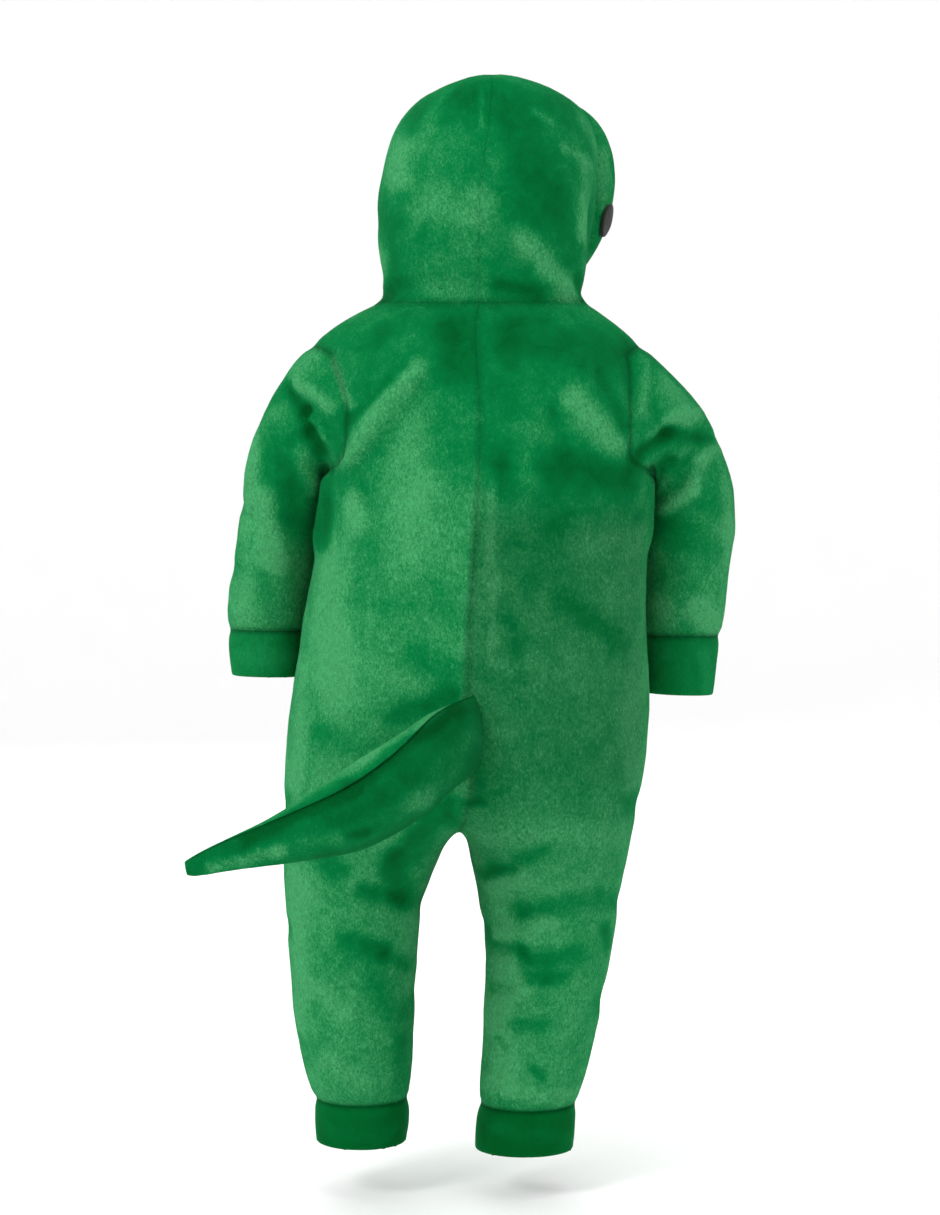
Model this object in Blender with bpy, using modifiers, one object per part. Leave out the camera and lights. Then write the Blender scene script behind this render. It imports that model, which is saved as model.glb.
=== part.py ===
"""Hooded plush onesie with a stuffed tail, filled out as it is when worn. Metres, +Z up.

The wearer faces -Y and the wearer's left is +X. The origin is in the middle of the neck seam, between
the shoulders that hold the garment up. One smooth skin is made from rings of body, legs, sleeves and
hood. Each cut piece is a wall over its own faces of that skin, and the seams are narrow gaps.
"""

import math
from collections import namedtuple

import bmesh
import bpy
from mathutils import Vector
from mathutils.bvhtree import BVHTree

WALL = 0.003
SEAM_GAP = 0.0003
LAY_GAP = 0.0006

COLUMNS = 20
HALF = COLUMNS // 2
SIDE = HALF // 2
LAST_HOOD_COLUMN = HALF - 1
NECK_GAP_ANGLE = 166.0
HOOD_TURN_BACK = 3.0
HOOD_TURN_FRONT = 12.0

PIECES = (
    "back_left", "back_right", "front_left", "front_right", "sleeve_left", "sleeve_right",
    "cuff_sleeve_left", "cuff_sleeve_right", "cuff_leg_left", "cuff_leg_right",
    "hood_left", "hood_right", "hood_band",
)

# Rings round the body, neck to hip. back and front are the depths behind and before the side seam.
# dip is how much lower the ring is at the centre back, drop the same at the centre front. turn is in
# degrees about Z, and reach is the angle from the side seam to the edge of the armhole.
BodyRing = namedtuple("BodyRing", "z centre_x half_width back front dip drop turn reach_left reach_right")
BODY = (
    BodyRing(0.003, 0.0010, 0.0670, 0.047, 0.050, 0.005, 0.030, 3.0, 36.0, 36.0),
    BodyRing(-0.009, 0.0050, 0.0915, 0.058, 0.060, 0.005, 0.020, 1.0, 31.0, 30.0),
    BodyRing(-0.026, 0.0065, 0.1105, 0.068, 0.067, 0.004, 0.010, 0.0, 28.0, 25.0),
    BodyRing(-0.062, 0.0010, 0.1090, 0.080, 0.076, 0.001, 0.003, 3.0, 46.0, 26.0),
    BodyRing(-0.101, -0.0040, 0.1080, 0.085, 0.082, 0.0, 0.0, 5.0, 36.0, 34.0),
    BodyRing(-0.138, -0.0010, 0.1100, 0.085, 0.086, 0.0, 0.0, 4.0, 35.0, 35.0),
    BodyRing(-0.176, 0.0030, 0.1130, 0.083, 0.090, 0.0, 0.0, 3.0, 36.0, 36.0),
    BodyRing(-0.214, 0.0070, 0.1160, 0.083, 0.092, 0.0, 0.0, 2.5, 36.0, 36.0),
    BodyRing(-0.250, 0.0080, 0.1200, 0.087, 0.091, 0.0, 0.0, 2.0, 36.0, 36.0),
    BodyRing(-0.286, 0.0105, 0.1225, 0.092, 0.086, 0.0, 0.0, -1.0, 36.0, 36.0),
    BodyRing(-0.322, 0.0135, 0.1225, 0.089, 0.079, 0.0, 0.0, -4.0, 36.0, 36.0),
)
BODY_SQUARENESS = 0.92
ARMHOLE_TOP = 2
ARMHOLE_BOTTOM = 4
ARMHOLE_REACH = 2

# The crotch seam between the legs, from the back to the front.
CrotchPoint = namedtuple("CrotchPoint", "y z")
CROTCH_X = 0.0165
CROTCH = (
    CrotchPoint(0.052, -0.345),
    CrotchPoint(0.000, -0.353),
    CrotchPoint(-0.046, -0.345),
)

# Rings round each leg, fork to hem. The last CUFF_RINGS rings are the cuff's.
LegRing = namedtuple("LegRing", "z centre_x centre_y half_width half_depth")
LEG_LEFT = (
    LegRing(-0.362, 0.0800, 0.004, 0.0555, 0.0700),
    LegRing(-0.392, 0.0878, 0.001, 0.0483, 0.0580),
    LegRing(-0.426, 0.0892, 0.000, 0.0444, 0.0515),
    LegRing(-0.464, 0.0880, -0.002, 0.0424, 0.0470),
    LegRing(-0.500, 0.0875, -0.003, 0.0398, 0.0430),
    LegRing(-0.526, 0.0845, -0.004, 0.0358, 0.0385),
    LegRing(-0.537, 0.0830, -0.004, 0.0312, 0.0330),
    LegRing(-0.545, 0.0828, -0.004, 0.0332, 0.0350),
    LegRing(-0.566, 0.0835, -0.004, 0.0310, 0.0330),
)
LEG_RIGHT = (
    LegRing(-0.362, -0.0434, 0.004, 0.0548, 0.0700),
    LegRing(-0.392, -0.0443, 0.001, 0.0497, 0.0580),
    LegRing(-0.426, -0.0444, 0.000, 0.0437, 0.0515),
    LegRing(-0.464, -0.0417, -0.002, 0.0410, 0.0470),
    LegRing(-0.500, -0.0366, -0.003, 0.0378, 0.0430),
    LegRing(-0.528, -0.0319, -0.004, 0.0362, 0.0385),
    LegRing(-0.541, -0.0300, -0.004, 0.0326, 0.0335),
    LegRing(-0.549, -0.0288, -0.004, 0.0348, 0.0355),
    LegRing(-0.571, -0.0275, -0.004, 0.0335, 0.0335),
)
LEG_COLUMNS = HALF + 1 + len(CROTCH)
CUFF_RINGS = 2

# Rings round each sleeve, armhole to wrist, by the points farthest from and nearest to the body.
SleeveRing = namedtuple("SleeveRing", "outer_x outer_z inner_x inner_z centre_y half_depth")
SLEEVE_LEFT = (
    SleeveRing(0.1305, -0.040, 0.1080, -0.111, -0.003, 0.0385),
    SleeveRing(0.1510, -0.068, 0.1105, -0.124, -0.013, 0.0350),
    SleeveRing(0.1635, -0.106, 0.1120, -0.139, -0.020, 0.0325),
    SleeveRing(0.1675, -0.146, 0.1140, -0.160, -0.025, 0.0310),
    SleeveRing(0.1735, -0.184, 0.1180, -0.188, -0.028, 0.0300),
    SleeveRing(0.1785, -0.208, 0.1215, -0.210, -0.030, 0.0290),
    SleeveRing(0.1750, -0.2190, 0.1240, -0.2200, -0.0305, 0.0245),
    SleeveRing(0.1765, -0.2265, 0.1230, -0.2275, -0.0308, 0.0260),
    SleeveRing(0.1735, -0.2500, 0.1250, -0.2510, -0.031, 0.0240),
)
SLEEVE_RIGHT = (
    SleeveRing(-0.1265, -0.042, -0.1160, -0.113, -0.003, 0.0385),
    SleeveRing(-0.1500, -0.068, -0.1155, -0.124, -0.014, 0.0350),
    SleeveRing(-0.1700, -0.102, -0.1130, -0.136, -0.024, 0.0330),
    SleeveRing(-0.1745, -0.142, -0.1100, -0.154, -0.031, 0.0315),
    SleeveRing(-0.1690, -0.182, -0.1095, -0.184, -0.035, 0.0302),
    SleeveRing(-0.1665, -0.212, -0.1095, -0.212, -0.037, 0.0290),
    SleeveRing(-0.1630, -0.2240, -0.1110, -0.2235, -0.0375, 0.0245),
    SleeveRing(-0.1625, -0.2315, -0.1100, -0.2310, -0.038, 0.0260),
    SleeveRing(-0.1590, -0.2640, -0.1110, -0.2625, -0.038, 0.0240),
)
SLEEVE_TOP_COLUMN = 2

# Rows up the hood, from just over the neck seam to the crown. dip is how much lower the row is at the
# centre back, end_angle where the face edge is, counted from the centre back, and rise how much
# higher the row is at the front.
HoodRow = namedtuple("HoodRow", "z centre_x centre_y half_width back front dip end_angle rise")
HOOD = (
    HoodRow(0.019, 0.0000, -0.004, 0.0675, 0.056, 0.060, 0.004, 152.0, -0.016),
    HoodRow(0.047, 0.0000, -0.008, 0.0725, 0.071, 0.083, 0.002, 132.0, -0.003),
    HoodRow(0.078, -0.0015, -0.008, 0.0740, 0.078, 0.090, 0.0, 125.0, 0.004),
    HoodRow(0.110, -0.0070, -0.008, 0.0705, 0.075, 0.090, 0.0, 123.0, 0.008),
    HoodRow(0.141, -0.0085, -0.008, 0.0605, 0.062, 0.084, 0.0, 124.0, 0.010),
)
CROWN_RISE = 0.0210

# The band round the face opening: how far its first and second rows stand out from the hood's edge
# and ahead of it, at each hood row, and at the middle of the forehead.
BandRow = namedtuple("BandRow", "out_1 ahead_1 out_2 ahead_2")
BAND = (
    BandRow(0.004, 0.004, 0.003, 0.011),
    BandRow(0.012, 0.004, 0.015, 0.015),
    BandRow(0.015, 0.004, 0.020, 0.017),
    BandRow(0.012, 0.006, 0.015, 0.018),
    BandRow(0.004, 0.007, 0.003, 0.018),
)
FOREHEAD = BandRow(0.004, 0.007, 0.003, 0.018)

# Largest folds, as seen from behind (side 1) or from the front (side -1). A positive depth is a
# ridge and a negative one a trough. width is from the line to where the fold is gone.
Fold = namedtuple("Fold", "side x_1 z_1 x_2 z_2 width depth")
FOLDS = (
    Fold(1, 0.098, -0.108, 0.048, -0.046, 0.024, 0.0050),
    Fold(1, 0.072, -0.126, 0.036, -0.086, 0.026, -0.0040),
    Fold(1, 0.128, -0.066, 0.104, -0.104, 0.022, -0.0055),
    Fold(1, -0.110, -0.110, -0.056, -0.048, 0.024, 0.0045),
    Fold(1, -0.090, -0.130, -0.050, -0.094, 0.024, -0.0035),
    Fold(1, -0.116, -0.116, -0.160, -0.094, 0.020, -0.0060),
    Fold(1, -0.122, -0.150, -0.160, -0.132, 0.022, 0.0040),
    Fold(1, 0.036, -0.352, 0.064, -0.396, 0.024, -0.0050),
    Fold(1, -0.018, -0.402, -0.076, -0.392, 0.024, -0.0035),
    Fold(1, 0.058, -0.440, 0.104, -0.456, 0.026, -0.0030),
    Fold(-1, 0.100, -0.106, 0.050, -0.052, 0.024, 0.0045),
    Fold(-1, 0.070, -0.128, 0.036, -0.090, 0.026, -0.0035),
    Fold(-1, 0.130, -0.064, 0.106, -0.102, 0.022, -0.0050),
    Fold(-1, -0.108, -0.106, -0.052, -0.054, 0.024, 0.0045),
    Fold(-1, -0.116, -0.116, -0.156, -0.094, 0.020, -0.0055),
    Fold(-1, 0.126, -0.164, 0.162, -0.150, 0.022, -0.0035),
    Fold(-1, 0.036, -0.350, 0.082, -0.330, 0.024, -0.0045),
    Fold(-1, -0.006, -0.350, -0.056, -0.330, 0.024, -0.0045),
    Fold(-1, -0.016, -0.436, -0.074, -0.424, 0.024, -0.0035),
)

# Rings along the tail's middle line, root to tip. roll turns the top seam towards the wearer's back.
TailRing = namedtuple("TailRing", "x y z half_height half_width roll")
TAIL = (
    TailRing(0.0150, 0.102, -0.2845, 0.0270, 0.0130, 6.0),
    TailRing(0.0267, 0.110, -0.2890, 0.0280, 0.0180, 16.0),
    TailRing(0.0445, 0.122, -0.3031, 0.0301, 0.0235, 34.0),
    TailRing(0.0656, 0.131, -0.3163, 0.0320, 0.0255, 46.0),
    TailRing(0.0875, 0.139, -0.3284, 0.0300, 0.0240, 48.0),
    TailRing(0.1083, 0.146, -0.3355, 0.0228, 0.0182, 42.0),
    TailRing(0.1315, 0.152, -0.3436, 0.0162, 0.0130, 30.0),
    TailRing(0.1518, 0.157, -0.3485, 0.0117, 0.0096, 20.0),
    TailRing(0.1673, 0.160, -0.3530, 0.0090, 0.0076, 15.0),
    TailRing(0.1795, 0.162, -0.3573, 0.0068, 0.0062, 15.0),
    TailRing(0.1850, 0.163, -0.3582, 0.0044, 0.0042, 15.0),
)
TAIL_ROOT_X = 0.0080
TAIL_ROOT_Z = -0.2822
TAIL_ROOT_HALF_HEIGHT = 0.0265
TAIL_ROOT_HALF_WIDTH = 0.0070
TAIL_ARC_STEPS = 8
TAIL_GAP = 0.0012
OUTSIDE = 0.4

PLACKET_TOP = -0.034
PLACKET_BOTTOM = -0.322
PLACKET_SHARE = 0.75
PLACKET_THICKNESS = 0.002
SNAP_COUNT = 7
SNAP_TOP = -0.052
SNAP_BOTTOM = -0.300
SNAP_RADIUS = 0.0055
SNAP_THICKNESS = 0.002
SNAP_CHAMFER = 0.0006
SNAP_SIDES = 12

EYE_Z = 0.064
EYE_FORWARD = 0.009
EYE_HALF_HEIGHT = 0.0115
EYE_HALF_WIDTH = 0.0050
EYE_THICKNESS = 0.0020
EYE_GAP = 0.0010
EYE_POINTS = 16

PLUSH_GREEN = (0.026, 0.270, 0.085, 1.0)
CUFF_GREEN = (0.008, 0.150, 0.045, 1.0)
SNAP_GREEN = (0.020, 0.200, 0.060, 1.0)
EYE_BLACK = (0.010, 0.012, 0.010, 1.0)
PLUSH_ROUGHNESS = 0.9
SNAP_ROUGHNESS = 0.4
EYE_ROUGHNESS = 0.6


def clear_scene():
    for obj in list(bpy.data.objects):
        bpy.data.objects.remove(obj)


def make_collection(name):
    collection = bpy.data.collections.new(name)
    bpy.context.scene.collection.children.link(collection)
    return collection


def make_material(name, colour, roughness):
    material = bpy.data.materials.new(name)
    material.use_nodes = True
    shader = material.node_tree.nodes["Principled BSDF"]
    shader.inputs["Base Color"].default_value = colour
    shader.inputs["Roughness"].default_value = roughness
    shader.inputs["Metallic"].default_value = 0.0
    material.diffuse_color = colour
    return material


def link_object(name, mesh, material, collection):
    """The finished piece as an object of its own, in its own collection."""
    data = bpy.data.meshes.new(name)
    mesh.to_mesh(data)
    mesh.free()
    data.materials.append(material)
    obj = bpy.data.objects.new(name, data)
    collection.objects.link(obj)
    return obj


def squared(value, power):
    """A sine or cosine made fuller, so that an ellipse becomes a rounded box."""
    return math.copysign(abs(value) ** power, value)


def turned(x, y, degrees):
    """A point turned about Z so that the front moves towards the wearer's right."""
    cosine, sine = math.cos(math.radians(degrees)), math.sin(math.radians(degrees))
    return x * cosine + y * sine, y * cosine - x * sine


def growth(columns):
    """How much larger a cage ring of so many columns is than the smooth ring inside it."""
    return 3 / (2 + math.cos(2 * math.pi / columns))


def column_angle(column):
    """Degrees from the centre back, growing towards the wearer's left side."""
    signed = column if column <= HALF else column - COLUMNS
    if abs(signed) == LAST_HOOD_COLUMN:
        return math.copysign(NECK_GAP_ANGLE, signed)
    return 180.0 * signed / HALF


def spread_angle(column, reach):
    """column_angle with the columns at the edges of the armhole this many degrees from the side."""
    angle = column_angle(column)
    from_side = abs(angle) - 90
    edge = 180.0 * ARMHOLE_REACH / HALF
    if abs(from_side) <= edge:
        moved = from_side * reach / edge
    else:
        beyond = (abs(from_side) - edge) / (90 - edge)
        moved = math.copysign(reach + (90 - reach) * beyond, from_side)
    return math.copysign(90 + moved, angle)


def body_point(ring, column):
    reach = ring.reach_left if column <= HALF else ring.reach_right
    angle = math.radians(spread_angle(column, reach))
    larger = growth(COLUMNS)
    depth = ring.back if math.cos(angle) > 0 else ring.front
    across = larger * ring.half_width * squared(math.sin(angle), BODY_SQUARENESS)
    x, y = turned(across, larger * depth * squared(math.cos(angle), BODY_SQUARENESS), ring.turn)
    lower = ring.drop * max(-math.cos(angle), 0) ** 2 + ring.dip * max(math.cos(angle), 0) ** 2
    return (ring.centre_x + x, y, ring.z - lower)


def leg_point(ring, column, outward):
    """The side seam is at column SIDE and the inside seam is opposite."""
    angle = 2 * math.pi * (column - SIDE) / LEG_COLUMNS
    larger = growth(LEG_COLUMNS)
    x = ring.centre_x + outward * larger * ring.half_width * math.cos(angle)
    return (x, ring.centre_y - larger * ring.half_depth * math.sin(angle), ring.z)


def sleeve_point(ring, column, columns):
    angle = 2 * math.pi * (column - SLEEVE_TOP_COLUMN) / columns
    larger = growth(columns)
    reach = (1 + larger * math.cos(angle)) / 2
    x = ring.inner_x + (ring.outer_x - ring.inner_x) * reach
    z = ring.inner_z + (ring.outer_z - ring.inner_z) * reach
    return (x, ring.centre_y - larger * ring.half_depth * math.sin(angle), z)


def hood_point(row, column):
    """Hood columns run from the right face edge, through 0 at the nape, to the left face edge."""
    angle = math.radians(row.end_angle * column_angle(column % COLUMNS) / NECK_GAP_ANGLE)
    larger = growth(COLUMNS)
    depth = row.back if math.cos(angle) > 0 else row.front
    forward = (1 - math.cos(angle)) / 2
    turn = HOOD_TURN_BACK + (HOOD_TURN_FRONT - HOOD_TURN_BACK) * forward
    x, y = turned(larger * row.half_width * math.sin(angle), larger * depth * math.cos(angle), turn)
    z = row.z + row.rise * max(-math.cos(angle), 0) ** 2 - row.dip * max(math.cos(angle), 0) ** 2
    return (row.centre_x + x, row.centre_y + y, z)


def new_row(cage, points):
    return [cage.verts.new(point) for point in points]


def new_face(cage, corners, piece):
    face = cage.faces.new(corners)
    face.material_index = PIECES.index(piece)


def bridge(cage, upper, lower, pieces):
    """Quads from one row of vertices to the next, one piece name each. None leaves a hole."""
    for i, piece in enumerate(pieces):
        after = (i + 1) % len(upper)
        if piece:
            new_face(cage, (upper[i], upper[after], lower[after], lower[i]), piece)


def body_pieces(row):
    """The piece of each quad below a body row, with the two armholes left open."""
    quarters = ("back_left", "front_left", "front_right", "back_right")
    pieces = [quarters[column // SIDE] for column in range(COLUMNS)]
    if ARMHOLE_TOP <= row < ARMHOLE_BOTTOM:
        for middle in (SIDE, COLUMNS - SIDE):
            for column in range(middle - ARMHOLE_REACH, middle + ARMHOLE_REACH):
                pieces[column] = None
    return pieces


def add_body(cage):
    rows = [new_row(cage, [body_point(ring, c) for c in range(COLUMNS)]) for ring in BODY]
    for i in range(len(rows) - 1):
        bridge(cage, rows[i], rows[i + 1], body_pieces(i))
    return rows


def add_tube(cage, above, rings, point_on, piece, pieces):
    """Rings of a leg or a sleeve below its first loop. The last rings are the cuff's."""
    for i, ring in enumerate(rings):
        below = new_row(cage, [point_on(ring, column) for column in range(len(above))])
        is_cuff = i >= len(rings) - CUFF_RINGS
        bridge(cage, above, below, [f"cuff_{piece}"] * len(above) if is_cuff else pieces)
        above = below


def add_legs(cage, hip):
    crotch = new_row(cage, [(CROTCH_X, point.y, point.z) for point in CROTCH])
    inside = len(CROTCH) // 2 + 1
    for side, rings, outward in (("left", LEG_LEFT, 1), ("right", LEG_RIGHT, -1)):
        outer = [hip[(outward * column) % COLUMNS] for column in range(HALF + 1)]
        front = [f"front_{side}"] * (SIDE + inside)
        pieces = [f"back_{side}"] * SIDE + front + [f"back_{side}"] * inside

        def point_on(ring, column, outward=outward):
            return leg_point(ring, column, outward)

        add_tube(cage, outer + crotch[::-1], rings, point_on, f"leg_{side}", pieces)


def armhole(rows, middle):
    """The vertices round one armhole: over the top to the front, down, back under the arm, and up."""
    columns = list(range(middle - ARMHOLE_REACH, middle + ARMHOLE_REACH + 1))
    if middle > HALF:
        columns.reverse()
    top = [rows[ARMHOLE_TOP][c] for c in columns]
    ahead = [rows[r][columns[-1]] for r in range(ARMHOLE_TOP + 1, ARMHOLE_BOTTOM)]
    under = [rows[ARMHOLE_BOTTOM][c] for c in columns[::-1]]
    behind = [rows[r][columns[0]] for r in range(ARMHOLE_BOTTOM - 1, ARMHOLE_TOP, -1)]
    return top + ahead + under + behind


def add_sleeves(cage, rows):
    for side, rings, middle in (("left", SLEEVE_LEFT, SIDE), ("right", SLEEVE_RIGHT, COLUMNS - SIDE)):
        above = armhole(rows, middle)

        def point_on(ring, column, columns=len(above)):
            return sleeve_point(ring, column, columns)

        add_tube(cage, above, rings, point_on, f"sleeve_{side}", [f"sleeve_{side}"] * len(above))


def add_crown(cage, top):
    """The top of the hood, closed over to a seam that rises along the middle. Returns its front end."""
    middle = len(top) // 2
    spans = [(top[middle + i].co - top[middle - i].co).length for i in range(1, middle + 1)]
    seam = [top[middle]]
    for i in range(1, middle + 1):
        centre = (top[middle + i].co + top[middle - i].co) / 2
        seam.append(cage.verts.new(centre + Vector((0, 0, CROWN_RISE * spans[i - 1] / max(spans)))))
    new_face(cage, (top[middle], top[middle + 1], seam[1]), "hood_left")
    new_face(cage, (top[middle], seam[1], top[middle - 1]), "hood_right")
    for i in range(1, middle):
        new_face(cage, (top[middle + i], top[middle + i + 1], seam[i + 1], seam[i]), "hood_left")
        new_face(cage, (top[middle - i - 1], top[middle - i], seam[i], seam[i + 1]), "hood_right")
    return seam[-1]


def add_hood(cage, neck):
    """The two hood panels. Returns the face edge, from the left of the throat over to the right."""
    columns = range(-LAST_HOOD_COLUMN, LAST_HOOD_COLUMN + 1)
    pieces = ["hood_right"] * LAST_HOOD_COLUMN + ["hood_left"] * LAST_HOOD_COLUMN
    rows = [[neck[c % COLUMNS] for c in columns]]
    for hood_row in HOOD:
        row = new_row(cage, [hood_point(hood_row, c) for c in columns])
        bridge(cage, row, rows[-1], pieces)
        rows.append(row)
    forehead = add_crown(cage, rows[-1])
    return [row[-1] for row in rows] + [forehead] + [row[0] for row in rows[::-1]]


def add_band(cage, edge, throat):
    """Two rows of the band that runs round the face opening and ends at the throat."""
    centre = sum((vertex.co for vertex in edge), Vector()) / len(edge)
    ahead = Vector((*turned(0, -1, HOOD_TURN_FRONT), 0))
    first, second = [], []
    for vertex, size in zip(edge[1:-1], BAND + (FOREHEAD,) + BAND[::-1]):
        out = vertex.co - centre
        out = (out - ahead * out.dot(ahead)).normalized()
        first.append(cage.verts.new(vertex.co + out * size.out_1 + ahead * size.ahead_1))
        second.append(cage.verts.new(vertex.co + out * size.out_2 + ahead * size.ahead_2))
    loop = [throat] + first + [throat]
    bridge(cage, edge, loop, ["hood_band"] * (len(edge) - 1))
    bridge(cage, first, second, ["hood_band"] * (len(first) - 1))
    new_face(cage, (throat, first[0], second[0]), "hood_band")
    new_face(cage, (first[-1], throat, second[-1]), "hood_band")


def make_cage():
    cage = bmesh.new()
    rows = add_body(cage)
    add_legs(cage, rows[-1])
    add_sleeves(cage, rows)
    edge = add_hood(cage, rows[0])
    add_band(cage, edge, rows[0][HALF])
    bmesh.ops.recalc_face_normals(cage, faces=cage.faces)
    return cage


def fold_depth(point, normal):
    """How far the folds move this point of the skin out."""
    total = 0.0
    for fold in FOLDS:
        start, end = Vector((fold.x_1, fold.z_1)), Vector((fold.x_2, fold.z_2))
        along = end - start
        here = Vector((point.x, point.z)) - start
        share = min(max(here.dot(along) / along.length_squared, 0.0), 1.0)
        away = (here - along * share).length / fold.width
        facing = min(max(2 * fold.side * normal.y, 0.0), 1.0)
        if away < 1:
            total += fold.depth * facing * (1 - away * away) ** 2
    return total


def make_skin(cage, helpers):
    """The cage rounded once, with the folds in it."""
    data = bpy.data.meshes.new("skin")
    cage.to_mesh(data)
    cage.free()
    obj = bpy.data.objects.new("skin", data)
    obj.display_type = "WIRE"
    helpers.objects.link(obj)
    rounding = obj.modifiers.new("Rounding", "SUBSURF")
    rounding.levels = rounding.render_levels = 1
    rounding.use_limit_surface = True
    bpy.context.view_layer.update()
    rounded = obj.evaluated_get(bpy.context.evaluated_depsgraph_get())
    skin = bmesh.new()
    skin.from_mesh(rounded.to_mesh())
    rounded.to_mesh_clear()
    skin.normal_update()
    moved = [vertex.co + vertex.normal * fold_depth(vertex.co, vertex.normal) for vertex in skin.verts]
    for vertex, place in zip(skin.verts, moved):
        vertex.co = place
    skin.normal_update()
    skin.verts.index_update()
    skin.verts.ensure_lookup_table()
    return skin


def seam_shift(vertex, index):
    """The move that leaves half of the seam gap between this piece and its neighbours."""
    inward = []
    for edge in vertex.link_edges:
        mine = [face for face in edge.link_faces if face.material_index == index]
        if len(mine) != 1 or len(edge.link_faces) != 2:
            continue
        along = (edge.other_vert(vertex).co - vertex.co).normalized()
        across = vertex.normal.cross(along).normalized()
        if across.dot(mine[0].calc_center_median() - vertex.co) < 0:
            across.negate()
        inward.append(across)
    if not inward:
        return Vector()
    total = sum(inward, Vector())
    return total * (SEAM_GAP / 2) * len(inward) / max(total.length_squared, 0.5)


def add_wall(name, faces, outer, inner, material, collection):
    """A closed wall between two sets of points, given as {index: place} for the same faces.

    Two walls that meet split each face of their rims the same way, so that the rims stay apart.
    """
    mesh = bmesh.new()
    outer = {index: mesh.verts.new(place) for index, place in outer.items()}
    inner = {index: mesh.verts.new(place) for index, place in inner.items()}
    sides = {(a, b) for face in faces for a, b in zip(face, face[1:] + face[:1])}
    for face in faces:
        mesh.faces.new([outer[i] for i in face])
        mesh.faces.new([inner[i] for i in reversed(face)])
    for a, b in sorted(sides):
        if (b, a) in sides:
            continue
        corners = (outer[b], outer[a], inner[a], inner[b])
        for i, j, k in ((0, 1, 3), (1, 2, 3)) if a < b else ((0, 1, 2), (0, 2, 3)):
            mesh.faces.new((corners[i], corners[j], corners[k]))
    return link_object(name, mesh, material, collection)


def add_panel(piece, skin, material, collection):
    index = PIECES.index(piece)
    faces = [[v.index for v in face.verts] for face in skin.faces if face.material_index == index]
    outer, inner = {}, {}
    for i in sorted({i for face in faces for i in face}):
        vertex = skin.verts[i]
        outer[i] = vertex.co + seam_shift(vertex, index)
        inner[i] = outer[i] - vertex.normal * WALL
    add_wall(piece, faces, outer, inner, material, collection)


def front_line(skin):
    """The centre front seam from the top down, each as (vertex, left neighbour, right neighbour)."""
    left, right = PIECES.index("front_left"), PIECES.index("front_right")
    line = []
    for vertex in skin.verts:
        if not PLACKET_BOTTOM < vertex.co.z < PLACKET_TOP:
            continue
        if {face.material_index for face in vertex.link_faces} != {left, right}:
            continue
        beside = {}
        for edge in vertex.link_edges:
            found = {face.material_index for face in edge.link_faces}
            if len(found) == 1:
                beside[found.pop()] = edge.other_vert(vertex)
        line.append((vertex, beside[left], beside[right]))
    return sorted(line, key=lambda found: -found[0].co.z)


def add_placket(line, material, collection):
    """A strip over the centre front, made from the panels' points moved out. Returns its middle line."""
    base = []
    for vertex, left, right in line:
        for beside in (left, vertex, right):
            place = vertex.co.lerp(beside.co, PLACKET_SHARE)
            base.append((place, vertex.normal.lerp(beside.normal, PLACKET_SHARE).normalized()))
    faces = []
    for row in range(len(line) - 1):
        for corner in (3 * row, 3 * row + 1):
            faces.append([corner, corner + 1, corner + 4, corner + 3])
    outer = {i: place + out * (LAY_GAP + PLACKET_THICKNESS) for i, (place, out) in enumerate(base)}
    inner = {i: place + out * LAY_GAP for i, (place, out) in enumerate(base)}
    add_wall("placket", faces, outer, inner, material, collection)
    return [(outer[i], base[i][1]) for i in range(1, len(base), 3)]


def on_line(line, z):
    """The point and the direction out of a line of points, at this height."""
    for (above, out_above), (below, out_below) in zip(line, line[1:]):
        if below.z <= z <= above.z:
            share = (above.z - z) / (above.z - below.z)
            return above.lerp(below, share), out_above.lerp(out_below, share).normalized()
    raise ValueError(f"no point at {z}")


def add_snap(name, place, out, material, collection):
    """A round snap button, edged with a chamfer, standing LAY_GAP off the placket."""
    mesh = bmesh.new()
    bmesh.ops.create_cone(
        mesh, cap_ends=True, segments=SNAP_SIDES, radius1=SNAP_RADIUS, radius2=SNAP_RADIUS,
        depth=SNAP_THICKNESS,
    )
    rim = [edge for edge in mesh.edges if all(v.co.z > 0 for v in edge.verts)]
    bmesh.ops.bevel(mesh, geom=rim, offset=SNAP_CHAMFER, segments=1, affect="EDGES", material=-1)
    turn = out.to_track_quat("Z", "Y").to_matrix().to_4x4()
    bmesh.ops.transform(mesh, matrix=turn, verts=mesh.verts)
    middle = place + out * (LAY_GAP + SNAP_THICKNESS / 2)
    bmesh.ops.translate(mesh, vec=middle, verts=mesh.verts)
    link_object(name, mesh, material, collection)


def hit(tree, start, direction):
    """Where a straight line from this start first meets the skin."""
    place, _, _, _ = tree.ray_cast(start, direction)
    if place is None:
        raise ValueError(f"nothing below {tuple(start)}")
    return place


def band_middle(skin, side):
    """The middle of the band's outer face on one side, at the height of the eye patches."""
    band = PIECES.index("hood_band")
    near = [
        face for face in skin.faces
        if face.material_index == band and side * face.calc_center_median().x > 0
        and abs(face.calc_center_median().z - EYE_Z) < EYE_HALF_HEIGHT
    ]
    return sum((face.calc_center_median() for face in near), Vector()) / len(near)


def band_place(skin, tree, point):
    """The nearest place on the skin to a point, and the level direction out of it."""
    place, _, index, _ = tree.find_nearest(point)
    out = skin.faces[index].normal.copy()
    out.z = 0
    return place, out.normalized()


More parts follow.
